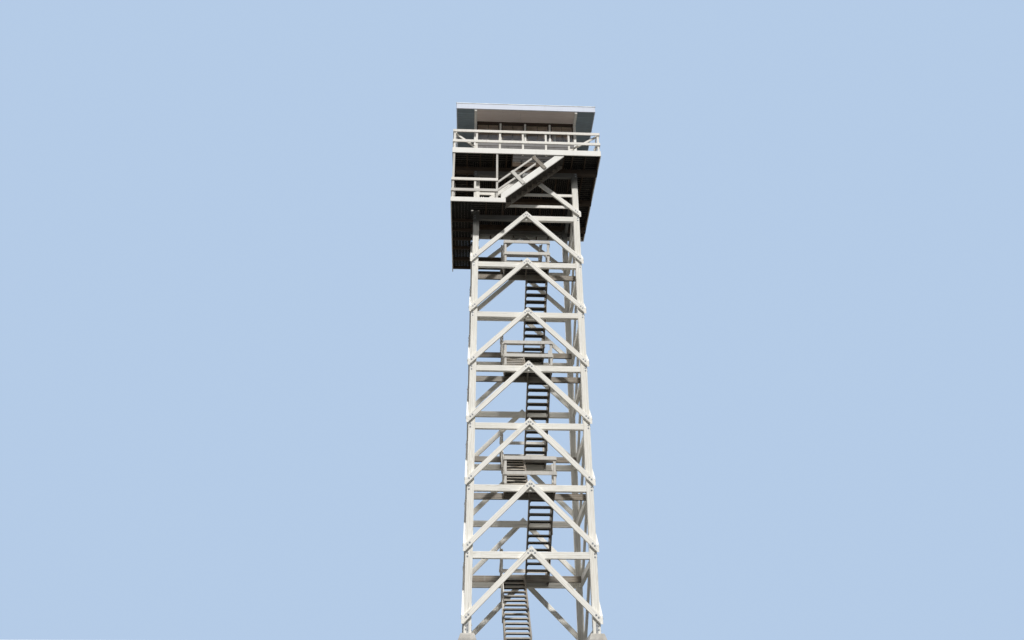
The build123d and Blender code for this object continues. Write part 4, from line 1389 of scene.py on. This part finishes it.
@dataclass
class Roof:
    """Soffit boards, fascia boards and the seamed sheet roof."""

    half: float = 3.170
    eave: float = 23.115
    lip: float = 0.025
    rise: float = 0.060
    crown: float = 0.40
    hem: float = 0.02
    ease: float = 0.001
    seam: float = 0.014
    seam_width: float = 0.012
    cap_widening: float = 3.5
    pitch: float = 0.42
    seams_each_way: int = 7
    end_gap: float = 0.003
    plate: float = 2.340
    middle_inset: float = 0.060
    eaves_inset: float = 0.058

    def height(self, x: Array, y: Array) -> Array:
        """The sheet's height: an even fall from the crown's square to the eave's square."""
        out = np.clip((self.half - np.maximum(np.abs(x), np.abs(y))) / (self.half - self.crown), 0, 1)
        return self.eave + self.lip + (self.rise - self.seam) * out

    def sheet(self) -> Solids:
        """The hipped sheet: eave square, crown square, a turned-down edge and an underside.

        Returns:
            One closed solid of four squares of corners.
        """
        ring = np.array([[-1, -1], [1, -1], [1, 1], [-1, 1]], float)
        foot, edge = self.eave + self.ease, self.eave + self.lip
        squares = ((self.half - self.hem, foot), (self.half, foot), (self.half, edge),
                   (self.crown, edge + self.rise - self.seam))
        points = np.concatenate([np.column_stack([ring * half, np.full(4, level)])
                                 for half, level in squares])
        faces = np.concatenate([quads(4, 4, True), [[3, 2, 1, 0]], [[12, 13, 14, 15]]])
        middle = points.mean(axis=0)
        reach, count = np.abs(points - middle).max(axis=0), len(points)
        return Solids(points, [faces], points - middle, np.tile(reach, (count, 1)), np.full(count, 0.5))

    def seams(self) -> Solids:
        """Standing seams down each slope and caps along the hips.

        Returns:
            The seams and caps.
        """
        parts = []
        edge = self.eave + self.lip
        for side in Side:
            places = np.arange(-self.seams_each_way, self.seams_each_way + 1) * self.pitch
            inner = np.maximum(np.abs(places), self.crown)
            start = np.column_stack([places, -inner, self.height(places, -inner)])
            end = np.column_stack([places, np.full(len(places), -self.half), np.full(len(places), edge)])
            parts.append(self.ribs(start @ side.frame, end @ side.frame, f"{side.label}_seams"))
        corner = np.array([[x, y] for x in (-1, 1) for y in (-1, 1)], float)
        start = np.column_stack([corner * self.crown, self.height(*(corner * self.crown).T)])
        end = np.column_stack([corner * self.half, np.full(4, edge)])
        return gathered(parts + [self.ribs(start, end, "hip_caps", self.cap_widening)])

    def ribs(self, start: Array, end: Array, name: str, widen: float = 1.0) -> Solids:
        """Straight ribs from start to end, sat on the sheet.

        Args:
            start: upper ends, (N, 3).
            end: lower ends, (N, 3).
            name: seeds the random numbers.
            widen: how much wider than a seam.

        Returns:
            The ribs.
        """
        along = end - start
        length = np.linalg.norm(along, axis=1)
        along = along / length[:, None]
        beside = np.cross([0.0, 0.0, 1.0], along)
        beside /= np.linalg.norm(beside, axis=1)[:, None]
        axes = np.stack([along, beside, np.cross(along, beside)], axis=1)
        count = len(start)
        size = np.column_stack([length / 2 - self.end_gap, np.full(count, self.seam_width * widen / 2),
                                np.full(count, (self.seam - self.ease) / 2)])
        return stamped(CUBE, (start + end) / 2 + axes[:, 2] * self.seam / 2, axes, name, size)

    def soffit(self) -> None:
        """Tongued boards along X, tan between the plates, and outside them darker and bluer as painted shade.
        """
        cad = cad_solids("soffit")
        low, high = cad.low[0], cad.high[0]
        inner, outer = self.plate - self.middle_inset, self.plate - self.eaves_inset
        for name, left, right, finish, node in (("soffit_middle", -inner, inner, SOFFIT_BOARDS, ("soffit",)),
                                                ("soffit_left", low[0], -outer, SHADED_EAVES_BOARDS, ()),
                                                ("soffit_right", outer, high[0], SHADED_EAVES_BOARDS, ())):
            start, end = low.copy(), high.copy()
            start[0], end[0] = left, right
            laying = Boarding("soffit", (0,), finish, Slot.SOFFIT, width=0.092, gap=0.0015, longest=3.0)
            boards = laying.rows(start, end, 0, name)
            make_object(name, boards, finish.material(), Slot.SOFFIT, node, 0.003)

    def build(self) -> None:
        """Make all of it."""
        self.soffit()
        make_object("roof_sheet", self.sheet(), ROOF_SHEET.material(), Slot.ROOF, ("roof",))
        make_object("roof_seams", self.seams(), ROOF_SHEET.material(), Slot.ROOF, bevel=0.003)


@dataclass
class Piers:
    """Concrete piers with eased edges, and the steel that holds each leg down."""

    strap: float = 0.006
    strap_width: float = 0.076
    strap_height: float = 0.36
    bolt_lifts: tuple[float, float] = (0.12, 0.28)
    washer: float = 0.044
    leg: float = 0.127
    centre: float = 2.165
    head: float = 0.300
    ease: float = 0.001

    def build(self) -> None:
        """Dress the piers and strap the legs."""
        piers = cad_solids("footings").solids
        make_object("footings_piers", piers, PIER_CONCRETE.material(), Slot.CONCRETE, ("footings",), 0.02)
        lows, highs, spots = [], [], []
        for x, y in ((-1, -1), (-1, 1), (1, -1), (1, 1)):
            for side in Side:
                outward = -side.frame[1]
                face = np.array([x * self.centre, y * self.centre, 0]) + outward * self.leg
                beside = np.abs(side.frame[0]) * self.strap_width / 2
                corner = face + outward * self.strap
                lows.append(np.minimum(face, corner) - beside + [0, 0, self.head + self.ease])
                highs.append(np.maximum(face, corner) + beside + [0, 0, self.head + self.strap_height])
                for lift in self.bolt_lifts:
                    spots.append(((corner + [0, 0, self.head + lift])[None], outward[None]))
        straps = timbers(np.array(lows), np.array(highs), 2, "straps")
        heads = Bolts(washer=self.washer).heads(spots, "strap_bolts")
        make_object("leg_straps", gathered([straps, heads]), ZINC.material(), Slot.TIMBER)


def main() -> None:
    """Build the studio and every part of the tower."""
    logging.basicConfig(level=logging.INFO, format="%(message)s")
    bpy.context.scene.view_settings.view_transform = "Standard"
    legs = ("front_left_leg", "front_right_leg", "back_left_leg", "back_right_leg")
    parts = [
        Studio(),
        Piers(),
        Dressing("frame", legs + sided("girts"), FRAME_TIMBER, Slot.TIMBER, 0.009),
        Dressing("braces", sided("braces"), BRACE_TIMBER, Slot.TIMBER, 0.006),
        Dressing("guards", ("guard_bars", "way_out_post"), RAIL_PAINT, Slot.TIMBER),
        # The hangers take the duller rail paint, partly painted shade.
        Dressing("hangers", ("walkway_hangers",), WORN_AND_SHADED_RAIL_PAINT, Slot.TIMBER),
        Bolts(),
        Dressing("stair", ("stair_stringers", "landing_frames", "stair_cleats"), STAIR_TIMBER, Slot.TIMBER),
        Dressing("treads", ("rearward_treads", "forward_treads"), WALK_BOARDS, Slot.BOARDS, 0.007),
        # The last flight's treads take painted shade.
        Dressing("last treads", ("last_flight_treads",), SHADED_FLIGHT_BOARDS, Slot.BOARDS, 0.007),
        Dressing("stair rails", ("stair_handrails", "landing_end_rails", "landing_side_rails"), WORN_AND_SHADED_RAIL_PAINT,
                 Slot.RAIL),
        Boarding("landing_floors", (0,), WALK_BOARDS, Slot.BOARDS, joists="landing_frames"),
        # The joists end below the boards, and the rims reach their tops. The joists are painted near-black as
        # shade.
        Dressing("walkway", ("walkway_frame",), RIM_PAINT, Slot.TIMBER, 0.005, SHADED_UNDER_TIMBER,
                 lambda cad: cad.high[:, 2] < 17.70),
        # The inner stringer is bare timber, darker as painted shade.
        Dressing("last flight", ("last_flight_stringers",), RIM_PAINT, Slot.TIMBER, 0.005, STAIR_TIMBER,
                 lambda cad: cad.low[:, 1] > -3.0),
        Dressing("last cleats", ("last_flight_cleats",), STAIR_TIMBER, Slot.TIMBER),
        Boarding("walkway_floor", (1, 0, 1), WALK_BOARDS, Slot.BOARDS, gap=0.0025, joists="walkway_frame"),
        # The lower rail is duller than the upper: worn paint and painted shade.
        Dressing("walkway rails", ("walkway_front_rail",), RAIL_PAINT, Slot.RAIL, 0.005, WORN_AND_SHADED_RAIL_PAINT,
                 lambda cad: (cad.axes[:, 0, 0] ** 2 > 0.5) & (cad.high[:, 2] < 18.3)),
        Dressing("side rails", ("walkway_side_rail", "walkway_rear_rail"), RAIL_PAINT, Slot.RAIL),
        # The upper post is bare timber, darker as painted shade.
        Dressing("last handrail", ("last_flight_handrail",), WORN_AND_SHADED_RAIL_PAINT, Slot.RAIL, 0.005, STAIR_TIMBER,
                 lambda cad: cad.low[:, 0] > 0.0),
        # The deck's beams and joists are painted near-black as shade.
        Dressing("deck", ("deck_beams", "deck_joists"), SHADED_UNDER_TIMBER, Slot.TIMBER, 0.006),
        Dressing("rims", ("deck_rims",), RIM_PAINT, Slot.RAIL),
        Boarding("catwalk_floor", (0,), WALK_BOARDS, Slot.BOARDS, joists="deck_joists"),
        Dressing("catwalk rails", sided("catwalk_rail"), RAIL_PAINT, Slot.RAIL),
        Boarding("cab_floor", (1,), WALK_BOARDS, Slot.BOARDS, width=0.092, gap=0.001),
        Dressing("cab posts", ("cab_posts", "door_frame"), RIM_PAINT, Slot.WALL, 0.004),
        # The front and back plates are as dark as the sashes.
        Dressing("plates", ("wall_plates",), RIM_PAINT, Slot.WALL, 0.004, SASH_PAINT,
                 lambda cad: np.abs(cad.axes[:, 0, 0]) > 0.9),
        Dressing("sashes", ("window_sashes",), SASH_PAINT, Slot.SASH, 0.003),
        Cab(),
        Dressing("roof frame", ("roof_frame",), FASCIA_PAINT, Slot.FASCIA),
        Roof(),
    ]
    for part in parts:
        LOG.info("building %s", getattr(part, "name", type(part).__name__))
        part.build()


if __name__ == "__main__":
    main()
